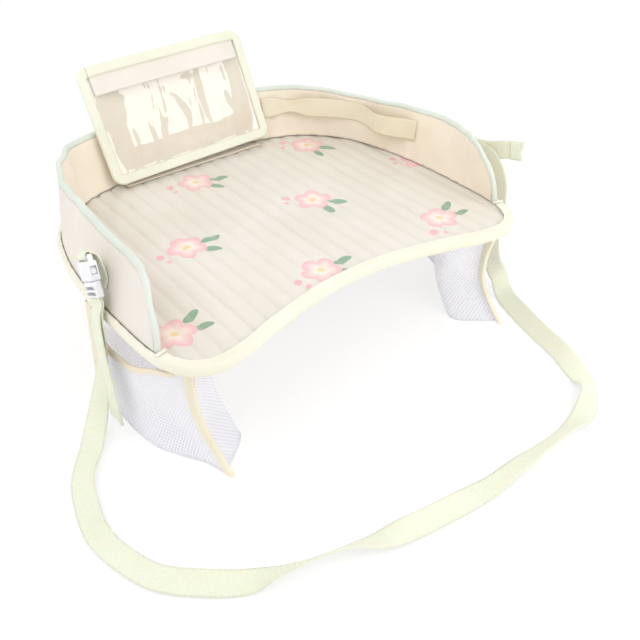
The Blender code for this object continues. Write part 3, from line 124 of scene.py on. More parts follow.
def eased(table, place):
    """A value from a table of (place, value), eased from row to row."""
    places = [row[0] for row in table]
    k = max(0, min(len(table) - 2, int(np.searchsorted(places, place)) - 1))
    t = (place - places[k]) / (places[k + 1] - places[k])
    t = max(0.0, min(1.0, t))
    t = t * t * (3 - 2 * t)
    return table[k][1] * (1 - t) + table[k + 1][1] * t


def ramp(value, start, end):
    """0 before start, 1 after end, eased between them."""
    t = max(0.0, min(1.0, (value - start) / (end - start)))
    return t * t * (3 - 2 * t)


def crease(value, centre, width):
    """1 at a centre, falling to 0 at a distance."""
    t = max(0.0, 1.0 - abs(value - centre) / width)
    return t * t * (3 - 2 * t)


def waves(x, y, seed, size):
    """Gentle uneven waves between -1 and 1, about one size long."""
    k = 2 * math.pi / size
    total = 0.0
    for n, share in enumerate((0.42, 0.30, 0.28)):
        turn = seed * 1.7 + n * 2.3
        speed = 1 + 0.37 * n
        along = x * math.cos(turn) + y * math.sin(turn)
        total += share * math.sin(k * speed * along + seed * 3.1 + n * 1.9)
    return total


# Rim and wall, placed as the solids are

HALF_RIM = [(x * TRAY_WIDTH / 2, y * TRAY_DEPTH / 2) for x, y in TRAY_OUTLINE_SHARES]
RIM = curve_through(HALF_RIM + [(-x, y) for x, y in HALF_RIM[-2:0:-1]], 12, closed=True)
RIM = np.vstack([RIM, RIM[:1]])
RIM_ARCS = arc_lengths(RIM, 2)
RIM_LENGTH = RIM_ARCS[-1]


def rim_spot(arc):
    """The point of the rim at a distance from the front middle."""
    arc = arc % RIM_LENGTH
    return np.array([np.interp(arc, RIM_ARCS, RIM[:, 0]), np.interp(arc, RIM_ARCS, RIM[:, 1])])


def rim_place(arc, inset=0.0):
    """The point inside the rim by an inset."""
    along = rim_spot(arc + RIM_LENGTH / 400) - rim_spot(arc - RIM_LENGTH / 400)
    along /= np.linalg.norm(along)
    return rim_spot(arc) + np.array([-along[1], along[0]]) * inset


def right_wall_end():
    """Distance along the rim at which the wall's right end stands."""
    first, last = int(np.argmin(RIM[: len(RIM) // 2, 1])), int(np.argmax(RIM[:, 1]))
    return float(np.interp(WALL_SETBACK - TRAY_DEPTH / 2, RIM[first:last, 1], RIM_ARCS[first:last]))


WALL_RIGHT_ARC = right_wall_end()
WALL_LEFT_ARC = RIM_LENGTH - WALL_RIGHT_ARC
WALL_LENGTH = WALL_LEFT_ARC - WALL_RIGHT_ARC
BINDING_CHANGE = PIPING_PROUD + PIPING_GAP + GAP


def binding_width(arc):
    """Width of the edge tape's upper side: narrow beside the wall, wide along the open front."""
    ahead = max(WALL_RIGHT_ARC - arc, arc - WALL_LEFT_ARC)
    share = ramp(ahead, BINDING_CHANGE, BINDING_CHANGE + BINDING_STEP)
    return BINDING_SIDE_WIDTH + (BINDING_FRONT_WIDTH - BINDING_SIDE_WIDTH) * share


def wall_place(along, up, inward):
    """A point of the wall: along it from the left end, up its slope, and in from its outer face."""
    lean = eased(WALL_LEAN_SHARES, along / WALL_LENGTH)
    spot = rim_place(WALL_LEFT_ARC - along, WALL_INSET + inward + lean * up)
    return np.array([spot[0], spot[1], WALL_FOOT_Z + math.sqrt(1 - lean * lean) * up])


def wall_top(along):
    """Height of the wall's edge, with a round corner at each end."""
    drop = WALL_CORNER - max(min(along, WALL_LENGTH - along, WALL_CORNER), 0.0)
    return WALL_HEIGHT - WALL_CORNER + math.sqrt(max(WALL_CORNER ** 2 - drop * drop, 0.0))


def wall_stations(spacing=0.003):
    """Distances along the wall, closer at its round corners."""
    turns = [math.pi / 2 * k / 12 for k in range(12)]
    corner = [WALL_CORNER * (1 - math.cos(turn)) for turn in turns]
    middle = np.linspace(WALL_CORNER, WALL_LENGTH - WALL_CORNER, int(WALL_LENGTH / spacing))
    return corner + [float(m) for m in middle] + [WALL_LENGTH - c for c in reversed(corner)]


def wall_inner_depth(across):
    """How far back the wall's inner face stands at its foot, at a place across the tray."""
    alongs = np.linspace(WALL_CORNER, WALL_LENGTH - WALL_CORNER, 49)
    right = np.array([wall_place(along, 0.0, LINING_END) for along in alongs])[24:]
    widest = int(np.argmax(right[:, 0]))
    return float(np.interp(across, right[: widest + 1, 0], right[: widest + 1, 1]))


# Camera and light

def aim(thing, place, target):
    """Puts a camera or a lamp at a place and turns it to a target."""
    thing.location = place
    thing.rotation_euler = (Vector(target) - Vector(place)).to_track_quat("-Z", "Y").to_euler()


VIEW_LENS, VIEW_SENSOR = 43.74, 36.0
VIEW_PLACE, VIEW_TARGET = (-0.3842, -0.5622, 0.3929), (-0.0706, -0.166, 0.009)


def make_camera():
    """The photograph's view."""
    lens = bpy.data.cameras.new("view")
    lens.lens = VIEW_LENS
    lens.sensor_width = VIEW_SENSOR
    camera = bpy.data.objects.new("view", lens)
    bpy.context.collection.objects.link(camera)
    aim(camera, VIEW_PLACE, VIEW_TARGET)
    bpy.context.scene.camera = camera


def make_lamp(name, place, target, size, power):
    """A soft rectangular studio lamp."""
    light = bpy.data.lights.new(name, "AREA")
    light.shape = "RECTANGLE"
    light.size, light.size_y = size
    light.energy = power
    lamp = bpy.data.objects.new(name, light)
    bpy.context.collection.objects.link(lamp)
    aim(lamp, place, target)


# Materials

def linear(colour):
    """A colour written as sRGB hex, turned to the linear values that a shader takes."""
    parts = [int(colour[k:k + 2], 16) / 255 for k in (1, 3, 5)]
    return [c / 12.92 if c <= 0.04045 else ((c + 0.055) / 1.055) ** 2.4 for c in parts] + [1.0]


def add(tree, kind, inputs, **settings):
    """Adds a node with its settings. Inputs are by place or name: a number, a colour, a node
    whose first live output is linked, or a node and the name of its output."""
    made = tree.nodes.new("ShaderNode" + kind)
    for name, value in settings.items():
        setattr(made, name, value)
    for place, value in (inputs.items() if isinstance(inputs, dict) else enumerate(inputs)):
        if isinstance(value, bpy.types.Node):
            value = (value, None)
        if isinstance(value, tuple) and isinstance(value[0], bpy.types.Node):
            source, output = value
            live = [o for o in source.outputs if o.enabled]
            tree.links.new(source.outputs[output] if output else live[0], made.inputs[place])
        elif isinstance(value, str):
            made.inputs[place].default_value = linear(value)
        elif value is not None:
            made.inputs[place].default_value = value
    return made


def finish_named(name):
    """A new material with its tree and its main shader."""
    material = bpy.data.materials.new(name)
    material.use_nodes = True
    return material, material.node_tree, material.node_tree.nodes["Principled BSDF"]


def along_and_across(tree):
    """The piece's own map in metres, along it and across it."""
    spot = add(tree, "UVMap", [], uv_map="cloth")
    parts = add(tree, "SeparateXYZ", [spot])
    return (parts, "X"), (parts, "Y")


def ribs(tree, place, pitch):
    """Rounded ribs at a pitch along one direction of the map, from -1 to 1."""
    turn = add(tree, "Math", [place, 2 * math.pi / pitch], operation="MULTIPLY")
    return add(tree, "Math", [turn], operation="SINE")


def stitches(tree, along, across, at, pitch=0.0034, width=0.0007):
    """A line of stitches at one distance across the piece: 1 on the thread, 0 beside it."""
    off = add(tree, "Math", [across, at], operation="SUBTRACT")
    near = add(tree, "Math", [off], operation="ABSOLUTE")
    line = add(tree, "MapRange", [near, width * 0.45, width * 0.75, 1.0, 0.0])
    part = add(tree, "Math", [along, pitch], operation="DIVIDE")
    part = add(tree, "Math", [part], operation="FRACT")
    part = add(tree, "Math", [part, 0.5], operation="SUBTRACT")
    part = add(tree, "Math", [part], operation="ABSOLUTE")
    dash = add(tree, "MapRange", [part, 0.33, 0.42, 1.0, 0.0])
    return add(tree, "Math", [line, dash], operation="MULTIPLY")


def woven(name, colour, shade, pitch=0.0011, relief=0.25, roughness=0.8, sheen=0.25, blotch=0.06,
          seams=(), thread="#FFFFFF", rib=None, soft=0.0):
    """Woven cloth or tape. Threads cross at a pitch, drawn coarser than they are so that they
    show; large soft blotches carry the slight unevenness of dyed cloth, and seams are lines of
    stitches at distances across the piece."""
    material, tree, shader = finish_named(name)
    along, across = along_and_across(tree)
    spot = (add(tree, "TexCoord", []), "Object")
    if rib is None:
        warp, weft = ribs(tree, along, pitch), ribs(tree, across, pitch)
        weave = add(tree, "Math", [warp, weft], operation="MULTIPLY")
    else:
        weave = ribs(tree, along if rib == "across" else across, pitch)
    cloud = add(tree, "TexNoise", {"Vector": spot, "Scale": 1 / blotch, "Detail": 3.0, "Roughness": 0.55})
    fuzz = add(tree, "TexNoise", {"Vector": spot, "Scale": 1 / 0.0016, "Detail": 2.0})
    tint = add(tree, "MapRange", [(cloud, "Fac"), 0.35, 0.65, 0.0, 0.55])
    tint = add(tree, "Math", [weave, 0.14, tint], operation="MULTIPLY_ADD")
    base = add(tree, "Mix", {0: tint, 6: colour, 7: shade}, data_type="RGBA")
    height = add(tree, "Math", [fuzz, 0.6, weave], operation="MULTIPLY_ADD")
    for at in seams:
        line = stitches(tree, along, across, at)
        base = add(tree, "Mix", {0: line, 6: base, 7: thread}, data_type="RGBA")
        height = add(tree, "Math", [line, 2.5, height], operation="MULTIPLY_ADD")
    bump = add(tree, "Bump", {"Strength": relief, "Distance": 0.0004, "Height": height})
    tree.links.new(base.outputs[2], shader.inputs["Base Color"])
    tree.links.new(bump.outputs[0], shader.inputs["Normal"])
    shader.inputs["Roughness"].default_value = roughness
    shader.inputs["Sheen Weight"].default_value = sheen
    shader.inputs["Sheen Roughness"].default_value = 0.5
    shader.inputs["Subsurface Weight"].default_value = soft
    shader.inputs["Subsurface Scale"].default_value = 0.004
    return material


def knitted_net(name, colour, shade, pitch=0.0027):
    """Warp knitted polyester net: round holes in a diamond grid, and soft white yarn that
    scatters light, so that layers behind show through it paler. A faint blue glow is painted
    on as emission, standing for the yarn's whitener, and keeps its shaded side light."""
    material, tree, shader = finish_named(name)
    along, across = along_and_across(tree)
    first = add(tree, "Math", [along, across], operation="ADD")
    second = add(tree, "Math", [along, across], operation="SUBTRACT")
    waves_one = add(tree, "Math", [add(tree, "Math", [first, 2 * math.pi / pitch / 1.4142],
                                       operation="MULTIPLY")], operation="COSINE")
    waves_two = add(tree, "Math", [add(tree, "Math", [second, 2 * math.pi / pitch / 1.4142],
                                       operation="MULTIPLY")], operation="COSINE")
    grid = add(tree, "Math", [waves_one, waves_two], operation="ADD")
    yarn = add(tree, "MapRange", [grid, 0.7, 1.1, 0.0, 1.0])
    tint = add(tree, "MapRange", [grid, -2.0, 0.7, 0.0, 0.5])
    base = add(tree, "Mix", {0: tint, 6: colour, 7: shade}, data_type="RGBA")
    bump = add(tree, "Bump", {"Strength": 0.2, "Distance": 0.0004, "Height": grid}, invert=True)
    tree.links.new(base.outputs[2], shader.inputs["Base Color"])
    tree.links.new(bump.outputs[0], shader.inputs["Normal"])
    shader.inputs["Roughness"].default_value = 0.75
    shader.inputs["Sheen Weight"].default_value = 0.3
    # Painted glow: a faint blue emission that keeps the net's shaded side light
    shader.inputs["Emission Color"].default_value = linear("#D9DCFF")
    shader.inputs["Emission Strength"].default_value = 0.06
    glow = add(tree, "BsdfTranslucent", {"Color": base})
    cloth = add(tree, "MixShader", [0.5, shader, glow])
    holes = add(tree, "BsdfTransparent", {"Color": "#FFFFFF"})
    whole = add(tree, "MixShader", [yarn, cloth, holes])
    output = [n for n in tree.nodes if n.type == "OUTPUT_MATERIAL"][0]
    tree.links.new(whole.outputs[0], output.inputs[0])
    return material


def clear_film(name, tint, bend, slack_depth, roughness, veil, edge, stretch=(1.0, 1.0, 1.0)):
    """Clear soft vinyl film: it lets what is under it through, mirrors the lamps more at a low
    angle, nearly twice as much where its rear face mirrors too, and its slack surface bends
    those reflections into patches."""
    material, tree, shader = finish_named(name)
    tree.nodes.remove(shader)
    spot = (add(tree, "TexCoord", []), "Object")
    spot = add(tree, "VectorMath", [spot, stretch], operation="MULTIPLY")
    slack = add(tree, "TexNoise", {"Vector": spot, "Scale": 1 / bend, "Detail": 2.0, "Roughness": 0.4,
                                   "Distortion": 0.6})
    bump = add(tree, "Bump", {"Strength": 0.5, "Distance": slack_depth, "Height": slack})
    fresnel = add(tree, "Fresnel", {"IOR": 1.52, "Normal": bump})
    through = add(tree, "BsdfTransparent", {"Color": tint})
    haze = add(tree, "BsdfDiffuse", {"Color": "#FFFFFF"})
    body = add(tree, "MixShader", [veil, through, haze])
    mirror = add(tree, "BsdfGlossy", {"Color": "#FFFFFF", "Roughness": roughness, "Normal": bump})
    outside = add(tree, "Math", [1.0, (add(tree, "NewGeometry", []), "Backfacing")], operation="SUBTRACT")
    gloss = add(tree, "Math", [fresnel, outside], operation="MULTIPLY")
    gloss = add(tree, "Math", [gloss, edge], operation="MULTIPLY")
    both = add(tree, "MixShader", [gloss, body, mirror])
    output = [n for n in tree.nodes if n.type == "OUTPUT_MATERIAL"][0]
    tree.links.new(both.outputs[0], output.inputs[0])
    return material


def printed_quilt(name):
    """Printed polyester cloth quilted over wadding: cream, with small pink blossoms and green
    leaves in staggered rows, and a fine sewn line in each valley of the channels."""
    material, tree, shader = finish_named(name)
    spot = (add(tree, "TexCoord", []), "Object")
    place = add(tree, "SeparateXYZ", [spot])

    # One blossom in each cell of a grid whose every other row is shifted by half a cell
    cell_x, cell_y, start_x, start_y, motif_scale, most_spin = 0.150, 0.108, 0.022, 0.052, 1.3, 2.4
    row = add(tree, "Math", [(place, "Y"), start_y], operation="ADD")
    row = add(tree, "Math", [row, cell_y], operation="DIVIDE")
    whole_row = add(tree, "Math", [row], operation="FLOOR")
    shift = add(tree, "Math", [whole_row], operation="ABSOLUTE")
    shift = add(tree, "Math", [shift, 2.0], operation="MODULO")
    shift = add(tree, "Math", [shift, 0.5], operation="MULTIPLY")
    column = add(tree, "Math", [(place, "X"), start_x], operation="ADD")
    column = add(tree, "Math", [column, cell_x], operation="DIVIDE")
    column = add(tree, "Math", [column, shift], operation="ADD")
    whole_column = add(tree, "Math", [column], operation="FLOOR")
    cell = add(tree, "CombineXYZ", [whole_column, whole_row, 0.0])
    chance = add(tree, "TexWhiteNoise", [cell], noise_dimensions="3D")
    offsets = []
    for at, whole, size in ((column, whole_column, cell_x), (row, whole_row, cell_y)):
        off = add(tree, "Math", [at, whole], operation="SUBTRACT")
        off = add(tree, "Math", [off, 0.5], operation="SUBTRACT")
        offsets.append(add(tree, "Math", [off, size], operation="MULTIPLY"))
    spin = add(tree, "Math", [(chance, "Value"), 0.5], operation="SUBTRACT")
    spin = add(tree, "Math", [spin, most_spin], operation="MULTIPLY")
    middle = add(tree, "CombineXYZ", [*offsets, 0.0])
    local = add(tree, "VectorRotate", {"Vector": middle, "Angle": spin}, rotation_type="Z_AXIS")
    local = add(tree, "VectorMath", [local, (1 / motif_scale, 1 / motif_scale, 1.0)], operation="MULTIPLY")
    parts = add(tree, "SeparateXYZ", [local])
    u, v = (parts, "X"), (parts, "Y")

    def blob(centre_x, centre_y, tilt, long_half, wide_half, soft=0.06):
        """1 inside a leaf or petal shape, 0 outside."""
        x = add(tree, "Math", [u, centre_x], operation="SUBTRACT")
        y = add(tree, "Math", [v, centre_y], operation="SUBTRACT")
        c, s = math.cos(tilt), math.sin(tilt)
        squares = []
        for share_x, share_y in ((c / long_half, s / long_half), (-s / wide_half, c / wide_half)):
            part = add(tree, "Math", [x, share_x], operation="MULTIPLY")
            part = add(tree, "Math", [y, share_y, part], operation="MULTIPLY_ADD")
            squares.append(add(tree, "Math", [part, part], operation="MULTIPLY"))
        reach = add(tree, "Math", squares, operation="ADD")
        return add(tree, "MapRange", [reach, 1.0 - soft, 1.0 + soft, 1.0, 0.0])

    # Petals from the angle about the blossom's middle
    bloom_radius, lobe_share, round_share = 0.0150, 0.36, 0.64
    angle = add(tree, "Math", [v, u], operation="ARCTAN2")
    distance = add(tree, "Math", [u, u], operation="MULTIPLY")
    distance = add(tree, "Math", [v, v, distance], operation="MULTIPLY_ADD")
    distance = add(tree, "Math", [distance], operation="SQRT")
    lobes = add(tree, "Math", [angle, 2.5], operation="MULTIPLY")
    lobes = add(tree, "Math", [lobes], operation="COSINE")
    lobes = add(tree, "Math", [lobes], operation="ABSOLUTE")
    lobes = add(tree, "Math", [lobes, 0.6], operation="POWER")
    reach = add(tree, "Math", [lobes, lobe_share, round_share], operation="MULTIPLY_ADD")
    reach = add(tree, "Math", [reach, bloom_radius], operation="MULTIPLY")
    share = add(tree, "Math", [distance, reach], operation="DIVIDE")
    bloom = add(tree, "MapRange", [share, 0.96, 1.02, 1.0, 0.0])
    blush = add(tree, "MapRange", [share, 0.35, 0.98, 0.0, 1.0])
    centre = add(tree, "MapRange", [distance, 0.0024, 0.0029, 1.0, 0.0])
    leaves = add(tree, "Math", [blob(0.0165, -0.0105, -0.55, 0.0080, 0.0034),
                                blob(0.0055, -0.0185, -1.25, 0.0070, 0.0030)], operation="MAXIMUM")
    buds = add(tree, "Math", [blob(-0.0195, 0.0100, 0.6, 0.0034, 0.0030),
                              blob(-0.0215, 0.0015, 0.2, 0.0022, 0.0020)], operation="MAXIMUM")
    cloud = add(tree, "TexNoise", {"Vector": spot, "Scale": 14.0, "Detail": 3.0})
    ground = add(tree, "Mix", {0: add(tree, "MapRange", [(cloud, "Fac"), 0.35, 0.65, 0.0, 1.0]),
                               6: "#E9E7E4", 7: "#E4E0DB"}, data_type="RGBA")
    green = add(tree, "Mix", {0: leaves, 6: ground, 7: "#86AE93"}, data_type="RGBA")
    petals = add(tree, "Mix", {0: blush, 6: "#FBEFEA", 7: "#F3B9C8"}, data_type="RGBA")
    pink = add(tree, "Mix", {0: buds, 6: green, 7: "#F3B9C8"}, data_type="RGBA")
    base = add(tree, "Mix", {0: bloom, 6: pink, 7: petals}, data_type="RGBA")
    base = add(tree, "Mix", {0: centre, 6: base, 7: "#F4D9A6"}, data_type="RGBA")
    # Painted shade: the valley between two channels is darkened as though the puffs on each side shaded it,
    # and its stitches follow
    turn = add(tree, "Math", [(place, "X"), QUILT_PITCH], operation="DIVIDE")
    turn = add(tree, "Math", [turn, 0.5], operation="ADD")
    turn = add(tree, "Math", [turn], operation="FRACT")
    valley = add(tree, "Math", [turn, 0.5], operation="SUBTRACT")
    valley = add(tree, "Math", [valley], operation="ABSOLUTE")
    # Painted shade mask, strongest in the middle of each valley
    sewn = add(tree, "MapRange", [valley, 0.0, 0.20, 0.22, 0.0])
    # Mixes the painted shade colour into the valley
    base = add(tree, "Mix", {0: sewn, 6: base, 7: "#D3C9BE"}, data_type="RGBA")
    line = add(tree, "MapRange", [valley, 0.012, 0.03, 1.0, 0.0])
    thread = add(tree, "Math", [ribs(tree, (place, "Y"), 0.0032), 1.0], operation="ADD")
    thread = add(tree, "Math", [line, thread], operation="MULTIPLY")
    fuzz = add(tree, "TexNoise", {"Vector": spot, "Scale": 900.0, "Detail": 2.0})
    height = add(tree, "Math", [thread, 0.5, fuzz], operation="MULTIPLY_ADD")
    bump = add(tree, "Bump", {"Strength": 0.25, "Distance": 0.0004, "Height": height})
    tree.links.new(base.outputs[2], shader.inputs["Base Color"])
    tree.links.new(bump.outputs[0], shader.inputs["Normal"])
    shader.inputs["Roughness"].default_value = 0.7
    shader.inputs["Sheen Weight"].default_value = 0.15
    return material


def moulded_acetal(name):
    """Injection moulded acetal: milky white, smooth with a very fine satin grain, and slightly
    waxy, so that its edges glow a little."""
    material, tree, shader = finish_named(name)
    spot = (add(tree, "TexCoord", []), "Object")
    grain = add(tree, "TexNoise", {"Vector": spot, "Scale": 1 / 0.0006, "Detail": 2.0})
    cloud = add(tree, "TexNoise", {"Vector": spot, "Scale": 1 / 0.012, "Detail": 2.0})
    base = add(tree, "Mix", {0: cloud, 6: "#F0EFF3", 7: "#E6E5EA"}, data_type="RGBA")
    rough = add(tree, "MapRange", [(cloud, "Fac"), 0.3, 0.7, 0.28, 0.4])
    bump = add(tree, "Bump", {"Strength": 0.12, "Distance": 0.0002, "Height": grain})
    tree.links.new(base.outputs[2], shader.inputs["Base Color"])
    tree.links.new(rough.outputs[0], shader.inputs["Roughness"])
    tree.links.new(bump.outputs[0], shader.inputs["Normal"])
    shader.inputs["Subsurface Weight"].default_value = 0.15
    shader.inputs["Subsurface Scale"].default_value = 0.003
    shader.inputs["IOR"].default_value = 1.48
    return material


def make_finishes():
    """Every finish of the tray."""
    return {
        # Printed quilted cloth under the film
        "quilt": printed_quilt("quilted_printed_polyester"),
        # Thin clear vinyl: flat, with small wrinkles that catch the light
        "film": clear_film("clear_vinyl_film", "#FEFDFB", 0.035, 0.0014, 0.18, 0.01, 0.8),
        # Thicker clear vinyl of the pouch: slack, with broad bright patches
        "window": clear_film("clear_vinyl_window", "#FEFDFB", 0.026, 0.0085, 0.05, 0.08, 1.9,
                             (1.0, 0.3, 0.35)),
        # Oxford polyester cloth of the wall: dull, with a fine square weave
        "wall": woven("oxford_cloth_beige", "#E8E1D8", "#DFD6CB", seams=(0.0025,), thread="#F4ECE2"),
        "lining": woven("oxford_cloth_cream", "#F5EAD8", "#EBDCC5", roughness=0.72, sheen=0.35),
        "under": woven("oxford_cloth_underside", "#EFE7DC", "#E5DACB"),
        "foam": woven("polyether_foam", "#F2EFE6", "#E9E4D6", pitch=0.0016, relief=0.5),
        # Folded binding tapes: ribbed across, dull, with one line of stitches
        "rim_tape": woven("folded_binding_cream", "#EFECDC", "#E6E2CC", pitch=0.0010, rib="across",
                          seams=(0.0016,), thread="#FBF9EC"),
        "pouch_tape": woven("folded_binding_lemon", "#EFEFDF", "#E5E6D0", pitch=0.0010, rib="across",
                            seams=(0.0015,), thread="#DDE2BE"),
        "pocket_tape": woven("folded_binding_sand", "#EFE8D2", "#E3D6B8", pitch=0.0010, rib="across",
                             seams=(0.0014,), thread="#F7F2E2"),
        "hem_tape": woven("folded_binding_tan", "#F0E5D3", "#E4D4B8", pitch=0.0010, rib="across",
                          seams=(0.0014,), thread="#F2E6D2"),
        # Corded piping: pale mint satin, slightly glossy along its crest
        "piping": woven("piping_mint", "#DEE4DA", "#CDD5C9", pitch=0.0009, rib="across", roughness=0.55,
                        seams=(0.0030,), thread="#B9C4B4"),
        "header": woven("oxford_cloth_blush", "#EFE8E0", "#E7DDD3", seams=(0.0020,), thread="#F5EDE6"),
        "board": woven("cloth_covered_board", "#EAE2D4", "#E2D8C8", pitch=0.0012, relief=0.15),
        "elastic": woven("woven_elastic_cream", "#F4EAD2", "#E6D8B8", pitch=0.0012, rib="across",
                         relief=0.45, seams=(), roughness=0.85),
        # Polypropylene webbing: ribs across its width, a slight gloss, pale lemon
        "webbing": woven("polypropylene_webbing_lemon", "#E8EAD6", "#DEE2C9", pitch=0.0021, rib="across",
                         relief=0.32, roughness=0.6, sheen=0.1, soft=0.15),
        "net": knitted_net("knitted_polyester_net", "#FFFFFF", "#F8F7FC"),
        "plastic": moulded_acetal("moulded_acetal_white"),
        "stiffener": woven("polypropylene_sheet", "#D9D6CE", "#D2CFC6", pitch=0.004, relief=0.05, sheen=0.0),
    }


# Cloth pieces

def mesh_piece(name, points, uv, faces, finish, body="tray"):
    """A piece from points, its map in metres and its faces."""
    mesh = bpy.data.meshes.new(name)
    mesh.from_pydata([tuple(map(float, p)) for p in points], [], faces)
    layer = mesh.uv_layers.new(name="cloth")
    flat = np.array([uv[v] for face in faces for v in face], dtype=np.float32)
    layer.data.foreach_set("uv", flat.ravel())
    mesh.materials.append(finish)
    mesh.shade_smooth()
    piece = bpy.data.objects.new(name, mesh)
    bpy.context.collection.objects.link(piece)
    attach(piece, body)
    return piece


def grid_faces(rows, columns):
    """Quads of a grid of points."""
    faces = []
    for i in range(rows - 1):
        for j in range(columns - 1):
            a, b = i * columns + j, (i + 1) * columns + j
            faces.append((a, b, b + 1, a + 1))
    return faces


def grid_map(grid):
    """A map in metres for a grid: distance along its middle line, and across each row."""
    grid = np.asarray(grid)
    middle = grid[:, grid.shape[1] // 2]
    along = arc_lengths(middle)
    return [(float(along[i]), float(w)) for i in range(len(grid)) for w in arc_lengths(grid[i])]


def apply_all(piece):
    """Applies a piece's modifiers in order."""
    bpy.ops.object.select_all(action="DESELECT")
    bpy.context.view_layer.objects.active = piece
    piece.select_set(True)
    for step in list(piece.modifiers):
        bpy.ops.object.modifier_apply(modifier=step.name)
    piece.select_set(False)


def turn_outwards(piece):
    """Makes every face of a closed piece point outwards."""
    work = bmesh.new()
    work.from_mesh(piece.data)
    bmesh.ops.recalc_face_normals(work, faces=work.faces)
    work.to_mesh(piece.data)
    work.free()


def sheet_piece(name, grid, thick, finish, body="tray", uv=None):
    """A sheet of cloth from a grid of points at its middle, thickened."""
    grid = np.asarray(grid)
    faces = grid_faces(len(grid), grid.shape[1])
    piece = mesh_piece(name, grid.reshape(-1, 3), uv or grid_map(grid), faces, finish, body)
    step = piece.modifiers.new("Thickness", "SOLIDIFY")
    step.thickness = thick
    step.offset = 0.0
    apply_all(piece)
    turn_outwards(piece)
    return piece


def swept_piece(name, rings, finish, body="tray", closed=False):
    """A solid through rings of points. Its map runs along the route and round the section."""
    rings = np.asarray(rings)
    count, size = rings.shape[:2]
    around = np.concatenate([rings, rings[:, :1]], axis=1)
    faces, places = [], []
    middle = arc_lengths(np.vstack([rings.mean(axis=1), rings.mean(axis=1)[:1]]) if closed
                         else rings.mean(axis=1))
    mesh = bpy.data.meshes.new(name)
    lengths = [arc_lengths(ring) for ring in around]
    for i in range(count if closed else count - 1):
        n = (i + 1) % count
        for j in range(size):
            k = (j + 1) % size
            faces.append((i * size + j, i * size + k, n * size + k, n * size + j))
            places += [(middle[i], lengths[i][j]), (middle[i], lengths[i][j + 1]),
                       (middle[i + 1], lengths[n][j + 1]), (middle[i + 1], lengths[n][j])]
    if not closed:
        for ring in (0, count - 1):
            faces.append(tuple(ring * size + j for j in range(size)))
            places += [(middle[ring], lengths[ring][j]) for j in range(size)]
    mesh.from_pydata([tuple(map(float, p)) for p in rings.reshape(-1, 3)], [], faces)
    layer = mesh.uv_layers.new(name="cloth")
    layer.data.foreach_set("uv", np.array(places, dtype=np.float32).ravel())
    mesh.materials.append(finish)
    mesh.shade_smooth()
    piece = bpy.data.objects.new(name, mesh)
    bpy.context.collection.objects.link(piece)
    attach(piece, body)
    turn_outwards(piece)
    bpy.ops.object.select_all(action="DESELECT")
    bpy.context.view_layer.objects.active = piece
    piece.select_set(True)
    bpy.ops.object.shade_smooth_by_angle(angle=math.radians(50))
    piece.select_set(False)
    return piece


def padded_body(name, upper, lower, uv, finish):
    """A closed body between two grids of the same size."""
    rows, columns = upper.shape[:2]
    offset = rows * columns
    faces = grid_faces(rows, columns)
    faces += [tuple(v + offset for v in reversed(face)) for face in faces]
    edge = [i * columns for i in range(rows)] + [(rows - 1) * columns + j for j in range(1, columns)]
    edge += [i * columns + columns - 1 for i in range(rows - 2, -1, -1)] + list(range(columns - 2, 0, -1))
    faces += [(a, b, b + offset, a + offset) for a, b in zip(edge, edge[1:] + edge[:1])]
    piece = mesh_piece(name, np.vstack([upper.reshape(-1, 3), lower.reshape(-1, 3)]), uv, faces, finish)
    turn_outwards(piece)
    return piece


def stand_in(node):
    """Hides the solid whose place a piece takes."""
    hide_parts(node)


# Tray

def edge_depths(x, inset):
    """Front and back edge of the tray's layers at a place across it."""
    half = EDGE_LINES[inset]
    widest = int(np.argmax(half[:, 0]))
    return (float(np.interp(abs(x), half[: widest + 1, 0], half[: widest + 1, 1])),
            float(np.interp(abs(x), half[widest:, 0][::-1], half[widest:, 1][::-1])))


EDGE_LINES = {inset: np.array([rim_place(arc, inset) for arc in np.linspace(0, RIM_LENGTH / 2, 260)])
              for inset in (LAYER_INSET + GAP, LAYER_INSET + 0.0008)}


def tray_grid(xs, rows, inset, height):
    """A grid over the tray, with a height for each place."""
    grid = []
    for x in xs:
        front, back = edge_depths(x, inset)
        ys = np.linspace(front, back, rows)
        grid.append([(x, float(y), height(x, float(y))) for y in ys])
    return np.array(grid)


def tray_columns(reach, spacing):
    """Places across the tray, closer at its two sides where the outline turns."""
    middle = reach - 0.012
    count = 2 * int(middle / spacing) + 1
    sides = [reach - 0.012 * (1 - math.sin(math.pi / 2 * k / 8)) for k in range(1, 9)]
    inner = [float(x) for x in np.linspace(-middle, middle, count)]
    return [-x for x in reversed(sides)] + inner + sides


def flat_uv(grid):
    """A map in metres straight down on a grid."""
    return [(float(p[0]) + 0.25, float(p[1]) + 0.25) for row in grid for p in row]


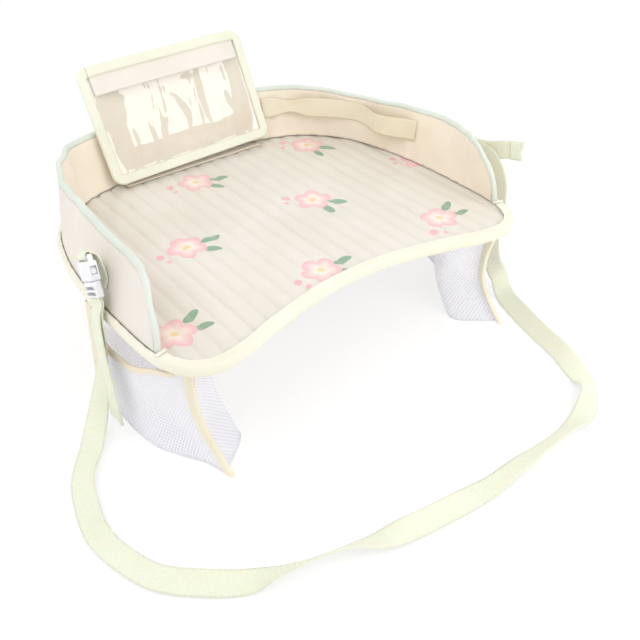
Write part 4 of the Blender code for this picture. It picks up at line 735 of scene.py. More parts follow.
def make_tray(finishes):
    """The tray's layers and its edge tape."""
    reach = TRAY_WIDTH / 2 - LAYER_INSET - 3 * GAP

    def crown(x, y):
        """Puffed channels between sewn lines, with slight puckers along each line."""
        place = x / QUILT_PITCH
        puff = abs(math.sin(math.pi * place)) ** 0.55
        pucker = 0.5 + 0.5 * math.sin(2 * math.pi * y / 0.0095 + 2.1 * math.floor(place))
        rise = puff * (1 - 0.10 * pucker * (1 - puff)) + 0.05 * waves(x, y, 3, 0.06) * puff
        return QUILT_Z + QUILT_THICK - QUILT_GROOVE * (1 - min(rise, 1.0))

    top = tray_grid(tray_columns(reach, 0.0017), 120, LAYER_INSET + GAP, crown)
    low = top.copy()
    low[:, :, 2] = QUILT_Z
    quilt = padded_body("padded_quilting", top, low, flat_uv(top) + flat_uv(low), finishes["quilt"])
    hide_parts("quilted_top")

    def slack(x, y):
        """The film lies nearly flat, with faint long waves."""
        ahead = max(0.0, (y + 0.02) / 0.15)
        return FILM_Z + FILM_THICK / 2 + 0.00016 * waves(x, y, 1, 0.07) * min(1.0, 0.4 + ahead)

    grid = tray_grid(tray_columns(reach, 0.0040), 70, LAYER_INSET + GAP, slack)
    film = sheet_piece("tray_clear_film", grid, FILM_THICK * 0.8, finishes["film"], uv=flat_uv(grid))
    stand_in("clear_top_film")

    grid = tray_grid(tray_columns(reach, 0.0060), 50, LAYER_INSET + GAP,
                     lambda x, y: COVER_THICK / 2 - 0.00008 * (1 + waves(x, y, 5, 0.05)))
    cover = sheet_piece("underside_cloth", grid, COVER_THICK * 0.8, finishes["under"], uv=flat_uv(grid))
    stand_in("bottom_cover")

    arcs = np.linspace(0.0, RIM_LENGTH, 560, endpoint=False)
    low, high = -GAP - BINDING_THICK, FILM_TOP + GAP + BINDING_THICK
    round_edge = (high - low) / 2
    rings = []
    for arc in arcs:
        width = binding_width(arc)
        under = BINDING_UNDER_WIDTH
        pucker = 0.00018 * math.sin(arc / 0.0021) + 0.00015 * waves(arc, 0.0, 2, 0.02)
        profile = [(width + pucker, high - BINDING_THICK + 0.0001), (width + pucker, high - 0.0003),
                   (width + pucker - 0.0004, high)]
        profile += [(width - (width - 0.0018) * k / 4, high - 0.00008 * math.sin(k)) for k in (1, 2, 3, 4)]
        for k in range(1, 8):
            turn = math.pi * k / 8
            profile.append((0.0018 * (1 - math.sin(turn)), (high + low) / 2 + round_edge * math.cos(turn)))
        profile += [(0.0018, low), (under * 0.5, low), (under - 0.0004, low), (under, low + 0.0003),
                    (under, low + BINDING_THICK - 0.0001), (BINDING_THICK + 0.0006, low + BINDING_THICK),
                    (BINDING_THICK, low + BINDING_THICK + 0.0006),
                    (BINDING_THICK, high - BINDING_THICK - 0.0006),
                    (BINDING_THICK + 0.0006, high - BINDING_THICK)]
        rings.append([(*rim_place(arc, inset), z) for inset, z in profile])
    tape = swept_piece("tray_edge_tape", rings, finishes["rim_tape"], closed=True)
    stand_in("rim_binding")


# Wall

def wall_sheet(inward, spacing=0.003, rows=16):
    """A grid over the wall at a depth that may change from place to place."""
    grid = []
    for along in wall_stations(spacing):
        top = wall_top(along)
        grid.append([wall_place(along, top * k / (rows - 1), inward(along, k / (rows - 1)))
                     for k in range(rows)])
    return np.array(grid)


def lining_bulge(along, up):
    """How far the lining puffs into the tray: puckers at its foot and gathers at the bends."""
    share = along / WALL_LENGTH
    foot = (1 - up) ** 3
    middle = math.sin(math.pi * min(max(up, 0.0), 1.0))
    rise = 0.00045 * foot * (1 + math.sin(along / 0.0028 + 2 * waves(along, 0, 4, 0.05)))
    rise += 0.0006 * middle * (1 + waves(along, up * 0.05, 6, 0.045))
    for centre, tall in ((0.640, 0.0012), (0.662, 0.0010), (0.690, 0.0009), (0.300, 0.0011),
                         (0.325, 0.0012), (0.235, 0.0008), (0.085, 0.0010), (0.105, 0.0008)):
        lean = centre + 0.010 * (up - 0.5)
        rise += tall * crease(share, lean, 0.010) * middle
    return rise


def make_wall(finishes):
    """The wall's cloths, padding, piping, tabs and elastic band."""
    def outwards(along, up):
        swell = 0.5 + 0.5 * waves(along, up * 0.05, 8, 0.09)
        return 0.00035 - 0.0004 * math.sin(math.pi * up) * swell

    grid = wall_sheet(outwards)
    outer = sheet_piece("wall_outer_cloth", grid, WALL_CLOTH * 0.85, finishes["wall"])
    stand_in("wall_outer_panel")
    piping = make_piping(finishes)

    near = wall_sheet(lambda along, up: FOAM_START, 0.006, 8)
    far = wall_sheet(lambda along, up: FOAM_START + WALL_FOAM * (1 - 0.15 * (2 * up - 1) ** 4), 0.006, 8)
    padding = padded_body("wall_padding", near, far, grid_map(near) * 2, finishes["foam"])
    stand_in("wall_foam")

    grid = wall_sheet(lambda along, up: LINING_START + WALL_CLOTH / 2 + lining_bulge(along, up), 0.0016, 26)
    lining = sheet_piece("wall_inner_cloth", grid, WALL_CLOTH * 0.85, finishes["lining"])
    stand_in("wall_lining")

    for side_name, side in (("left", -1), ("right", 1)):
        make_end_tab(side_name, side, finishes)
    make_band(finishes)


def make_piping(finishes):
    """Corded piping along the wall's top and down both ends."""
    middle = LINING_END / 2
    foot = WALL_HEIGHT - WALL_CORNER
    route = [(0.0, foot * k / 8, -1.0, 0.0) for k in range(8)]
    for k in range(14):
        turn = math.pi / 2 * k / 14
        route.append((WALL_CORNER * (1 - math.cos(turn)), foot + WALL_CORNER * math.sin(turn),
                      -math.cos(turn), math.sin(turn)))
    for along in np.linspace(WALL_CORNER, WALL_LENGTH / 2, 170):
        route.append((float(along), WALL_HEIGHT, 0.0, 1.0))
    route += [(WALL_LENGTH - a, up, -oa, ou) for a, up, oa, ou in reversed(route[:-1])]
    rings = []
    for n, (along, up, out_along, out_up) in enumerate(route):
        cord = PIPING_HALF_WIDTH * (0.94 + 0.03 * math.sin(n * 1.3))
        profile = [(-cord, PIPING_GAP), (-cord * 0.5, PIPING_GAP), (cord * 0.5, PIPING_GAP),
                   (cord, PIPING_GAP)]
        for k in range(1, 10):
            turn = math.pi * k / 10
            profile.append((cord * math.cos(turn) * (1 if k in (1, 9) else 0.98),
                            PIPING_GAP + 0.0009 + (PIPING_PROUD - 0.0009) * math.sin(turn)))
        rings.append([wall_place(along + out * out_along, up + out * out_up, middle + across)
                      for across, out in profile])
    piping = swept_piece("wall_top_piping", rings, finishes["piping"])
    stand_in("wall_piping")
    return piping


def make_end_tab(side_name, side, finishes):
    """Small folded tab across the edge tape at the foot of one wall end."""
    start = BINDING_CHANGE + GAP
    base = FILM_TOP + GAP + BINDING_THICK + GAP
    grid = []
    for k in range(9):
        ahead = start + 0.0035 * k / 8
        arc = WALL_RIGHT_ARC - ahead if side > 0 else WALL_LEFT_ARC + ahead
        grid.append([(*rim_place(arc, 0.0010 + 0.011 * j / 12),
                      base + 0.0006 + 0.0002 * math.sin(math.pi * k / 8)) for j in range(13)])
    tab = sheet_piece(side_name + "_wall_end_tab", grid, 0.0009, finishes["rim_tape"])
    stand_in(side_name + "_end_tab")


def ribbon(stations, width, count):
    """Grid of points across a strap whose stations hold a centre and a half width vector."""
    centres, sides = stations[:, :3], stations[:, 3:]
    tangents = np.gradient(centres, axis=0)
    grid = []
    for centre, side, tangent in zip(centres, sides, tangents):
        tangent = tangent / np.linalg.norm(tangent)
        side = side - tangent * (side @ tangent)
        side = side / np.linalg.norm(side)
        half = width(len(grid)) / 2 if callable(width) else width / 2
        grid.append([centre + side * half * s for s in np.linspace(-1, 1, count)])
    return np.array(grid)


BAND_HEIGHT, BAND_THICK = 0.022, 0.0010
BAND_ROUTE_SHARES = [
    (0.620, 0.66, 0.03), (0.640, 0.68, 0.16), (0.665, 0.70, 0.34), (0.690, 0.70, 0.38),
    (0.722, 0.70, 0.22), (0.748, 0.70, 0.03), (0.768, 0.70, 0.03), (0.785, 0.68, 0.20),
    (0.803, 0.66, 0.48), (0.822, 0.64, 0.46), (0.842, 0.64, 0.16), (0.857, 0.64, 0.03),
]


def make_band(finishes):
    """Elastic band that stands off the lining between its stitches, pinched near one end."""
    face = LINING_END + GAP + WALL_CLEAR
    route = []
    for along, up, off in BAND_ROUTE_SHARES:
        spots = [wall_place(along * WALL_LENGTH, up * WALL_HEIGHT + step * BAND_HEIGHT / 2,
                            face + off * BAND_HEIGHT) for step in (-1, 1)]
        route.append(np.concatenate([(spots[0] + spots[1]) / 2, (spots[1] - spots[0]) / 2]))
    stations = evenly(curve_through(route, 12), 150)
    grid = ribbon(stations, lambda k: BAND_HEIGHT * (1 - 0.42 * crease(k / 149, 0.17, 0.13)), 13)
    band = sheet_piece("side_elastic", grid, BAND_THICK * 0.9, finishes["elastic"])
    stand_in("elastic_band")


# Pouch

POUCH_WIDTH, POUCH_HEIGHT, POUCH_CORNER = 0.197, 0.1215, 0.012
POUCH_BINDING_WIDTH, POUCH_FILM, POUCH_CLOTH = 0.0105, 0.0004, 0.0007
POUCH_BULGE, POUCH_BULGE_SIDE, POUCH_BULGE_FOOT = 0.0065, 0.022, 0.025
POUCH_HEADER, POUCH_HEADER_THICK, FOLD_TAPE_REACH = 0.030, 0.0006, 0.085
FILM_Y = BINDING_THICK + GAP
POUCH_CLOTH_Y = FILM_Y + POUCH_FILM + GAP + 0.0012 + GAP
POUCH_BACK_Y = POUCH_CLOTH_Y + POUCH_CLOTH + GAP
POUCH_THICK = POUCH_BACK_Y + BINDING_THICK
LIP_REACH = POUCH_WIDTH / 2 - POUCH_CORNER - GAP
FOLD_PLACE = (0.0, wall_inner_depth(POUCH_WIDTH / 2) - 0.0105, WALL_FOOT_Z + 0.0047)
POUCH_LEAN, POUCH_TILT = 25.5, 1.40
POUCH_FRAME = (Matrix.Translation(FOLD_PLACE) @ Matrix.Rotation(-math.radians(POUCH_LEAN), 4, "X")
               @ Matrix.Translation((0, -POUCH_THICK / 2, 0.0015))
               @ Matrix.Rotation(-math.radians(POUCH_TILT), 4, "Y"))


def in_pouch(points):
    """Points of the pouch's own frame, in the tray's."""
    points = np.asarray(points, dtype=float)
    turn = np.array(POUCH_FRAME.to_3x3())
    return points @ turn.T + np.array(POUCH_FRAME.translation)


def pouch_bulge(x, z):
    """How far the window stands forward of its edge."""
    across = ramp(LIP_REACH - abs(x), 0.0, POUCH_BULGE_SIDE)
    up = ramp(z, POUCH_BINDING_WIDTH, POUCH_BINDING_WIDTH + POUCH_BULGE_FOOT)
    return POUCH_BULGE * across * up


def pouch_low(x, inset):
    """Height of the pouch's lower edge at a place across it, with its round corner."""
    radius = POUCH_CORNER - inset
    drop = radius - max(min(POUCH_WIDTH / 2 - inset - abs(x), radius), 0.0)
    return inset + radius - math.sqrt(max(radius * radius - drop * drop, 0.0))


def pouch_columns(inset, count=70):
    """Places across the pouch, closer at its round corners."""
    reach, radius = POUCH_WIDTH / 2 - inset, POUCH_CORNER - inset
    corner = [reach - radius * (1 - math.cos(math.pi / 2 * k / 10)) for k in range(10)]
    middle = [float(m) for m in np.linspace(reach - radius, radius - reach, count)]
    return corner + middle + [-c for c in reversed(corner)]


def pouch_grid(inset, depth, rows=46):
    """A grid over the pouch at a depth that may change from place to place."""
    grid = []
    for x in pouch_columns(inset):
        low = pouch_low(x, inset)
        heights = np.linspace(low, POUCH_HEIGHT - low, rows)
        grid.append([(x, depth(x, float(z)), float(z)) for z in heights])
    return in_pouch(grid)


def make_pouch(finishes):
    """The window pouch that leans on the back wall."""
    inner = BINDING_THICK + GAP

    def window(x, z):
        bulge = pouch_bulge(x, z)
        slack = ramp(bulge, 0.0, POUCH_BULGE)
        under = ramp(z, POUCH_HEIGHT - POUCH_HEADER - 0.006, POUCH_HEIGHT - POUCH_HEADER + 0.002)
        return FILM_Y + POUCH_FILM / 2 - bulge + 0.0007 * slack * (1 - under) * waves(x, z, 7, 0.052)

    grid = pouch_grid(inner, window)
    film = sheet_piece("pouch_clear_window", grid, POUCH_FILM * 0.8, finishes["window"], body="pouch")
    stand_in("pouch_window")
    back_y = POUCH_CLOTH_Y + POUCH_CLOTH / 2
    grid_back = pouch_grid(inner, lambda x, z: back_y + 0.0001 * waves(x, z, 9, 0.03), 30)
    back = sheet_piece("pouch_rear_cloth", grid_back, POUCH_CLOTH * 0.8, finishes["lining"], body="pouch")
    stand_in("pouch_back")

    low, top = POUCH_HEIGHT - POUCH_HEADER, POUCH_HEIGHT - BINDING_THICK - GAP
    header_grid = in_pouch([[(x, FILM_Y - GAP - POUCH_HEADER_THICK / 2 - pouch_bulge(x, z), z)
                             for z in np.linspace(low, top, 14)]
                            for x in np.linspace(-LIP_REACH, LIP_REACH, 70)])
    header = sheet_piece("pouch_upper_strip", header_grid, POUCH_HEADER_THICK * 0.8, finishes["header"],
                         body="pouch")
    stand_in("pouch_header")

    tape = make_pouch_tape(finishes)
    lips = [make_lip(name, node, forward, finishes) for name, node, forward in
            (("pouch_mouth_front_tape", "pouch_front_lip", True),
             ("pouch_mouth_back_tape", "pouch_back_lip", False))]

    y = FOLD_PLACE[1]
    fold_grid = []
    for x in np.linspace(-FOLD_TAPE_REACH, FOLD_TAPE_REACH, 60):
        fold_grid.append([(x, y + 0.0005 + 0.0055 * k / 8,
                           WALL_FOOT_Z + 0.0003 + 0.00005 * math.sin(x * 400 + k))
                          for k in range(9)])
    fold = sheet_piece("pouch_fold_tape", fold_grid, 0.0005, finishes["lining"])
    stand_in("pouch_hinge_tape")


def make_pouch_tape(finishes):
    """Binding folded round the pouch's sides, bottom and all four corners."""
    side, route = POUCH_WIDTH / 2, []
    corner = []
    for k in range(17):
        turn = math.pi / 2 * k / 16
        corner.append((-side + POUCH_CORNER * (1 - math.cos(turn)), POUCH_CORNER * (1 - math.sin(turn)),
                       math.cos(turn), math.sin(turn)))
    route = [(x, POUCH_HEIGHT - z, ix, -iz) for x, z, ix, iz in reversed(corner)]
    falling = np.linspace(POUCH_HEIGHT - POUCH_CORNER, POUCH_CORNER, 34)[1:-1]
    route += [(-side, float(z), 1.0, 0.0) for z in falling]
    route += corner
    route += [(float(x), 0.0, 0.0, 1.0) for x in np.linspace(-side + POUCH_CORNER, 0, 30)[1:-1]]
    route += [(-x, z, -ix, iz) for x, z, ix, iz in reversed(route)]
    width, thick, t = POUCH_BINDING_WIDTH, POUCH_THICK, BINDING_THICK
    rings = []
    for n, (x, z, ix, iz) in enumerate(route):
        pucker = 0.0002 * math.sin(n * 1.9) + 0.00015 * math.sin(n * 0.7)
        edge = width + pucker
        profile = [(edge, t - 0.0001), (edge, 0.0003), (edge - 0.0004, 0.0), (width * 0.7, 0.00004),
                   (width * 0.4, 0.0), (0.0020, 0.00003)]
        for k in range(1, 8):
            turn = math.pi * k / 8
            profile.append((0.0016 * (1 - math.sin(turn)), thick / 2 - thick / 2 * math.cos(turn)))
        profile += [(0.0020, thick), (width * 0.4, thick), (width * 0.7, thick), (edge - 0.0004, thick),
                    (edge, thick - 0.0003), (edge, POUCH_BACK_Y + 0.0001), (t + 0.0005, POUCH_BACK_Y),
                    (t, POUCH_BACK_Y - 0.0004), (t, t + 0.0004), (t + 0.0005, t)]
        rings.append(in_pouch([(x + ix * inset, y, z + iz * inset) for inset, y in profile]))
    tape = swept_piece("pouch_edge_tape", rings, finishes["pouch_tape"], body="pouch")
    stand_in("pouch_binding")
    return tape


def make_lip(name, node, forward, finishes):
    """Bound upper edge of the window or of the back cloth."""
    low, turned = POUCH_HEIGHT - POUCH_BINDING_WIDTH, POUCH_HEIGHT - BINDING_THICK
    rings = []
    for x in np.linspace(-LIP_REACH, LIP_REACH, 90):
        if forward:
            back = FILM_Y + POUCH_FILM - pouch_bulge(x, POUCH_HEIGHT)
            rear = back - POUCH_FILM - GAP - POUCH_HEADER_THICK - GAP
            front = rear - BINDING_THICK
        else:
            back, rear, front = POUCH_CLOTH_Y, POUCH_BACK_Y, POUCH_THICK
        sign = -1 if forward else 1
        height = POUCH_HEIGHT - 0.0001 + 0.00008 * math.sin(x * 900)
        section = [(rear, low), (front - sign * 0.0003, low), (front, low + 0.0004), (front, low + 0.003),
                   (front, height - 0.0012), (front - sign * 0.0003, height - 0.0003),
                   (front - sign * 0.0010, height), (back + sign * 0.0004, height), (back, height - 0.0003),
                   (back, turned), (rear, turned)]
        rings.append(in_pouch([(x, y, z) for y, z in section]))
    lip = swept_piece(name, rings, finishes["pouch_tape"], body="pouch")
    stand_in(node)
    return lip


# Mesh pockets

MESH_THICK, SEAM_DEPTH, SEAM_BINDING_WIDTH, POCKET_HEM_WIDTH = 0.0010, 0.008, 0.007, 0.005
FRONT_HEAD_SHARE, FRONT_FOOT_SHARE = (0.878, -0.848), (0.820, -1.000)
REAR_HEAD_SHARE, REAR_FOOT_SHARE = (0.990, -0.040), (1.010, -0.010)
FRONT_SEAM_TURN, REAR_SEAM_TURN = -110.0, 70.0
OUTER_HEAD_SHARES = [(0.938, -0.765), (0.966, -0.670), (0.990, -0.540), (0.998, -0.400), (0.998, -0.230)]
OUTER_FOOT_SHARES = [(0.870, -0.840), (0.925, -0.735), (0.976, -0.620), (1.004, -0.471), (1.012, -0.250)]
INNER_HEAD_SHARES = [(0.810, -0.758), (0.725, -0.695), (0.720, -0.590), (0.800, -0.450), (0.930, -0.250)]
INNER_FOOT_SHARES = [(0.740, -0.880), (0.660, -0.770), (0.720, -0.630), (0.840, -0.460), (0.960, -0.250)]
WAIST, WAIST_SHARE = 0.026, 0.62
HEM_SHARES = [(0.00, 0.035), (0.12, 0.060), (0.25, 0.130), (0.45, 0.250), (0.65, 0.265), (0.86, 0.280),
              (1.00, 0.060)]
HEM_SPREAD = np.linspace(-0.13, 0.13, 9)


def plan_point(share):
    """A point given as shares of the tray's half width and half depth."""
    return np.array([share[0] * TRAY_WIDTH / 2, share[1] * TRAY_DEPTH / 2])


def heading(degrees):
    """A level direction and the one on its left."""
    ahead = np.array([math.cos(math.radians(degrees)), math.sin(math.radians(degrees))])
    return ahead, np.array([-ahead[1], ahead[0]])


def pocket_line(front, middles, rear, side, count=64):
    """A pocket panel's line in plan, from the front seam's edge to the rear seam's edge, with
    the share of the way at each point."""
    out_front, left_front = heading(FRONT_SEAM_TURN)
    out_rear, left_rear = heading(REAR_SEAM_TURN)
    apart = (MESH_THICK + GAP) / 2 * side
    first = plan_point(front) + left_front * apart
    last = plan_point(rear) - left_rear * apart
    inner = [first - out_front * SEAM_DEPTH] + [plan_point(m) for m in middles]
    inner.append(last - out_rear * SEAM_DEPTH)
    body = evenly(curve_through(inner, 12), count, 2)
    head = [first * (1 - k / 3) + body[0] * k / 3 for k in range(3)]
    tail = [body[-1] * (1 - k / 3) + last * k / 3 for k in (1, 2, 3)]
    shares = np.concatenate([np.linspace(0, 1 / 19, 4)[:3], np.linspace(1 / 19, 18 / 19, count),
                             np.linspace(18 / 19, 1, 4)[1:]])
    return np.vstack([head, body, tail]), shares


def line_normals(line):
    """The level direction on the right of a line in plan, at each of its points."""
    tangents = np.gradient(line, axis=0)
    tangents /= np.linalg.norm(tangents, axis=1)[:, None]
    return np.column_stack([tangents[:, 1], -tangents[:, 0]])


def drawn_back(share, t):
    """How far the waist draws a pocket back, at a share of the way round and one down it."""
    fall = max(min(t / WAIST_SHARE, (1 - t) / (1 - WAIST_SHARE)), 0.0)
    return np.array([0.0, WAIST * (1 - ramp(share, 0.12, 0.75)) * math.sin(math.pi / 2 * fall)])


def net_grid(head, foot, tops, side, drape, rows=30):
    """Grid of a net panel between its head line and its foot line."""
    (head, shares), (foot, _) = head, foot
    normals = line_normals(head), line_normals(foot)
    grid = []
    for k, share in enumerate(shares):
        column = []
        for t in np.linspace(tops(share), 1.0, rows):
            out = drape(share, t) * min(1.0, min(share, 1 - share) / 0.10)
            spot = head[k] * (1 - t) + foot[k] * t + (normals[0][k] * (1 - t) + normals[1][k] * t) * out
            spot = spot + drawn_back(share, t)
            column.append((side * spot[0], spot[1], UNDERSIDE_Z - POCKET_DEPTH * t))
        grid.append(column)
    return np.array(grid)


def make_pocket(side_name, side, finishes):
    """Net pocket under one side of the tray, open at its outer top."""
    outer = (pocket_line(FRONT_HEAD_SHARE, OUTER_HEAD_SHARES, REAR_HEAD_SHARE, 1),
             pocket_line(FRONT_FOOT_SHARE, OUTER_FOOT_SHARES, REAR_FOOT_SHARE, 1))
    inner = (pocket_line(FRONT_HEAD_SHARE, INNER_HEAD_SHARES, REAR_HEAD_SHARE, -1),
             pocket_line(FRONT_FOOT_SHARE, INNER_FOOT_SHARES, REAR_FOOT_SHARE, -1))
    seed = 11 if side < 0 else 12

    def top_of(share):
        near = [min(max(share + step, 0.0), 1.0) for step in HEM_SPREAD]
        return sum(eased(HEM_SHARES, at) for at in near) / len(HEM_SPREAD)

    def drape(share, t):
        """Soft upright folds that grow towards the pocket's foot."""
        folds = 0.0016 * waves(share * 0.12, t * 0.01, seed, 0.055)
        return folds * (0.4 + 0.6 * t) * math.sin(math.pi * min(1.0, 0.15 + t * 0.85)) ** 0.5

    grid = net_grid(*outer, top_of, side, drape)
    panel = sheet_piece(side_name + "_net_outer", grid, MESH_THICK * 0.5, finishes["net"])
    stand_in(side_name + "_pocket_outer")
    grid_in = net_grid(*inner, lambda share: 0.0, side, lambda share, t: -drape(share + 0.3, t))
    back = sheet_piece(side_name + "_net_inner", grid_in, MESH_THICK * 0.5, finishes["net"])
    stand_in(side_name + "_pocket_inner")

    clear = MESH_THICK / 2 + GAP
    (foot, shares), (foot_in, _) = outer[1], inner[1]
    near, far = foot - line_normals(foot) * clear, foot_in + line_normals(foot_in) * clear
    level = 1 - MESH_THICK / 2 / POCKET_DEPTH
    base_grid = [[(side * s[0], s[1], FLOOR_Z + MESH_THICK * 0.5) for s in
                  (near[k] * (1 - t) + far[k] * t + drawn_back(shares[k], level)
                   for t in np.linspace(0, 1, 13))]
                 for k in range(8, len(near) - 8)]
    base = sheet_piece(side_name + "_net_base", base_grid, MESH_THICK * 0.6, finishes["net"])
    stand_in(side_name + "_pocket_bottom")

    hem = make_hem(side_name, outer, top_of, drape, side, finishes)
    seams = [make_seam_tape(side_name + "_net_front_seam", side_name + "_pocket_front_binding",
                            FRONT_HEAD_SHARE, FRONT_FOOT_SHARE, FRONT_SEAM_TURN, 0.0, side, finishes),
             make_seam_tape(side_name + "_net_rear_seam", side_name + "_pocket_rear_binding",
                            REAR_HEAD_SHARE, REAR_FOOT_SHARE, REAR_SEAM_TURN, 1.0, side, finishes)]


def make_hem(side_name, outer, top_of, drape, side, finishes):
    """Binding folded over the outer panel's upper edge."""
    (head, shares), (foot, _) = outer
    normals = line_normals(head), line_normals(foot)
    inner = MESH_THICK / 2 + GAP
    edge = inner + BINDING_THICK
    profile = [(inner, POCKET_HEM_WIDTH), (edge, POCKET_HEM_WIDTH), (edge, POCKET_HEM_WIDTH * 0.5),
               (edge, 0.0)]
    profile += [(edge * math.cos(math.pi * k / 6), -(GAP + BINDING_THICK) * math.sin(math.pi * k / 6))
                for k in range(1, 6)]
    profile += [(-edge, 0.0), (-edge, POCKET_HEM_WIDTH * 0.5), (-edge, POCKET_HEM_WIDTH),
                (-inner, POCKET_HEM_WIDTH), (-inner, 0.0), (0.0, -GAP * 0.8), (inner, 0.0)]
    rings = []
    for k, share in enumerate(shares):
        if not 1.99 / 19 <= share <= 17.01 / 19:
            continue
        ring = []
        for across, down in profile:
            t = top_of(share) + down / POCKET_DEPTH
            out = across + drape(share, top_of(share)) * min(1.0, min(share, 1 - share) / 0.10)
            spot = head[k] * (1 - t) + foot[k] * t + (normals[0][k] * (1 - t) + normals[1][k] * t) * out
            spot = spot + drawn_back(share, t)
            ring.append((side * spot[0], spot[1], UNDERSIDE_Z - POCKET_DEPTH * t))
        rings.append(ring)
    hem = swept_piece(side_name + "_net_hem", rings, finishes["hem_tape"])
    stand_in(side_name + "_pocket_hem")
    return hem


def make_seam_tape(name, node, head, foot, turn, share, side, finishes):
    """Binding folded round one upright seam of a pocket."""
    ahead, left = heading(turn)
    inner = MESH_THICK + GAP / 2 + GAP
    outer, edge = inner + BINDING_THICK, GAP + BINDING_THICK
    profile = [(inner, SEAM_BINDING_WIDTH), (outer - 0.0002, SEAM_BINDING_WIDTH),
               (outer, SEAM_BINDING_WIDTH * 0.6),
               (outer, 0.0008)]
    profile += [(outer * math.cos(math.pi * k / 6), -edge * math.sin(math.pi * k / 6)) for k in range(1, 6)]
    profile += [(-outer, 0.0008), (-outer, SEAM_BINDING_WIDTH * 0.6), (-outer + 0.0002, SEAM_BINDING_WIDTH),
                (-inner, SEAM_BINDING_WIDTH), (-inner, 0.0), (-inner + 0.0004, -GAP), (inner - 0.0004, -GAP),
                (inner, 0.0)]
    rings = []
    for row in range(41):
        t = row / 40
        spot = plan_point(head) * (1 - t) + plan_point(foot) * t + drawn_back(share, t)
        places = [spot + left * across - ahead * back for across, back in profile]
        rings.append([(side * p[0], p[1], UNDERSIDE_Z - POCKET_DEPTH * t) for p in places])
    seam = swept_piece(name, rings, finishes["pocket_tape"])
    stand_in(node)
    return seam


# Buckles and webbing

BUCKLE_THICK, SOCKET_LENGTH, PLUG_LENGTH = 0.0085, 0.0165, 0.0140
LOOP_LENGTH, LOOP_THICK, LOOP_SLOT = 0.0055, 0.0040, 0.0035
LEFT_PLACE = (-TRAY_WIDTH / 2 + 0.0008, -0.1948 * TRAY_DEPTH / 2, 0.0335)
RIGHT_PLACE = (TRAY_WIDTH / 2 + 0.0130, -0.2750 * TRAY_DEPTH / 2, 0.0418)
LEFT_ALONG, LEFT_FACE = (0.088, 0.469, 0.880), (-0.990, 0.000, 0.088)
RIGHT_ALONG, RIGHT_FACE = (-0.100, 0.990, 0.050), (0.990, 0.100, 0.020)
STRAP_LEFT_DROP = [
    (-0.2086, -0.0450, 0.1140, -90.0, 18.0), (-0.2120, -0.0480, 0.0880, -90.0, 4.0),
    (-0.2165, -0.0480, 0.0560, -86.0, 0.0), (-0.2280, -0.0515, 0.0235, -64.0, 0.0),
    (-0.2470, -0.0715, 0.0060, -41.0, 0.0),
]
STRAP_FLOOR_ROUTE = [
    (-0.2690, -0.1000, 14.0), (-0.2795, -0.1315, 8.0), (-0.2840, -0.1620, 8.0),
    (-0.2790, -0.1920, 10.0), (-0.2670, -0.2230, 18.0), (-0.2420, -0.2500, 28.0),
    (-0.2170, -0.2660, 10.0), (-0.1960, -0.2750, -35.0), (-0.1720, -0.2830, -52.0),
    (-0.1450, -0.2910, -50.0), (-0.1200, -0.2990, -20.0), (-0.0900, -0.3070, 30.0),
    (-0.0530, -0.3120, 24.0), (-0.0080, -0.3150, -6.0), (0.0290, -0.3150, -24.0),
    (0.0620, -0.3160, -40.0), (0.0950, -0.3150, -34.0), (0.1200, -0.3100, 2.0),
    (0.1450, -0.2980, 34.0), (0.1600, -0.2780, -10.0), (0.1690, -0.2450, -52.0),
    (0.1770, -0.2120, -58.0), (0.1900, -0.1770, -40.0), (0.2060, -0.1430, -20.0),
]
STRAP_RIGHT_RISE = [
    (0.2175, -0.1230, 0.0130, -50.0, -20.0), (0.2165, -0.1100, 0.0330, -75.0, -10.0),
    (0.2150, -0.1060, 0.0640, -90.0, 0.0), (0.2160, -0.1060, 0.0890, -90.0, 4.0),
    (0.2190, -0.1045, 0.1110, -90.0, 14.0), (0.2206, -0.0970, 0.1300, -90.0, 35.0),
    (0.2205, -0.0833, 0.1428, -90.0, 66.0),
]
LEFT_TAIL_ROUTE = [
    (-0.2112, -0.0448, 0.1120, -90.0, 20.0), (-0.2165, -0.0555, 0.0840, -90.0, 14.0),
    (-0.2195, -0.0670, 0.0540, -90.0, 8.0), (-0.2205, -0.0715, 0.0215, -90.0, 2.0),
]
RIGHT_TAIL_ROUTE = [
    (0.2230, -0.0813, 0.1488, -90.0, 86.0), (0.2270, -0.0963, 0.1538, -90.0, 80.0),
    (0.2335, -0.1133, 0.1558, -80.0, 84.0),
]


def buckle_frame(place, along, face):
    """A frame at the socket's mouth: Y to the socket's loop, Z out of the buckle's face."""
    y = Vector(along).normalized()
    z = Vector(face)
    z = (z - y * z.dot(y)).normalized()
    return Matrix.Translation(place) @ Matrix((y.cross(z), y, z)).transposed().to_4x4()


LEFT_FRAME = buckle_frame(LEFT_PLACE, LEFT_ALONG, LEFT_FACE)
RIGHT_FRAME = buckle_frame(RIGHT_PLACE, RIGHT_ALONG, RIGHT_FACE)


def in_frame(matrix, point):
    """A point of a buckle's frame, in the tray's."""
    return np.array(matrix @ Vector(point))


def way(matrix, direction):
    """A direction of a buckle's frame, in the tray's."""
    return np.array(matrix.to_3x3() @ Vector(direction))


def width_way(turn, rise):
    """Half a width of webbing along a heading and a rise in degrees."""
    turn, rise = math.radians(turn), math.radians(rise)
    return np.array([math.cos(turn) * math.cos(rise), math.sin(turn) * math.cos(rise),
                     math.sin(rise)]) * WEB_WIDTH / 2


def hanging_points(route):
    """Stations of the webbing where it hangs."""
    return [np.concatenate([(x, y, FLOOR_Z + up), width_way(turn, rise)]) for x, y, up, turn, rise in route]


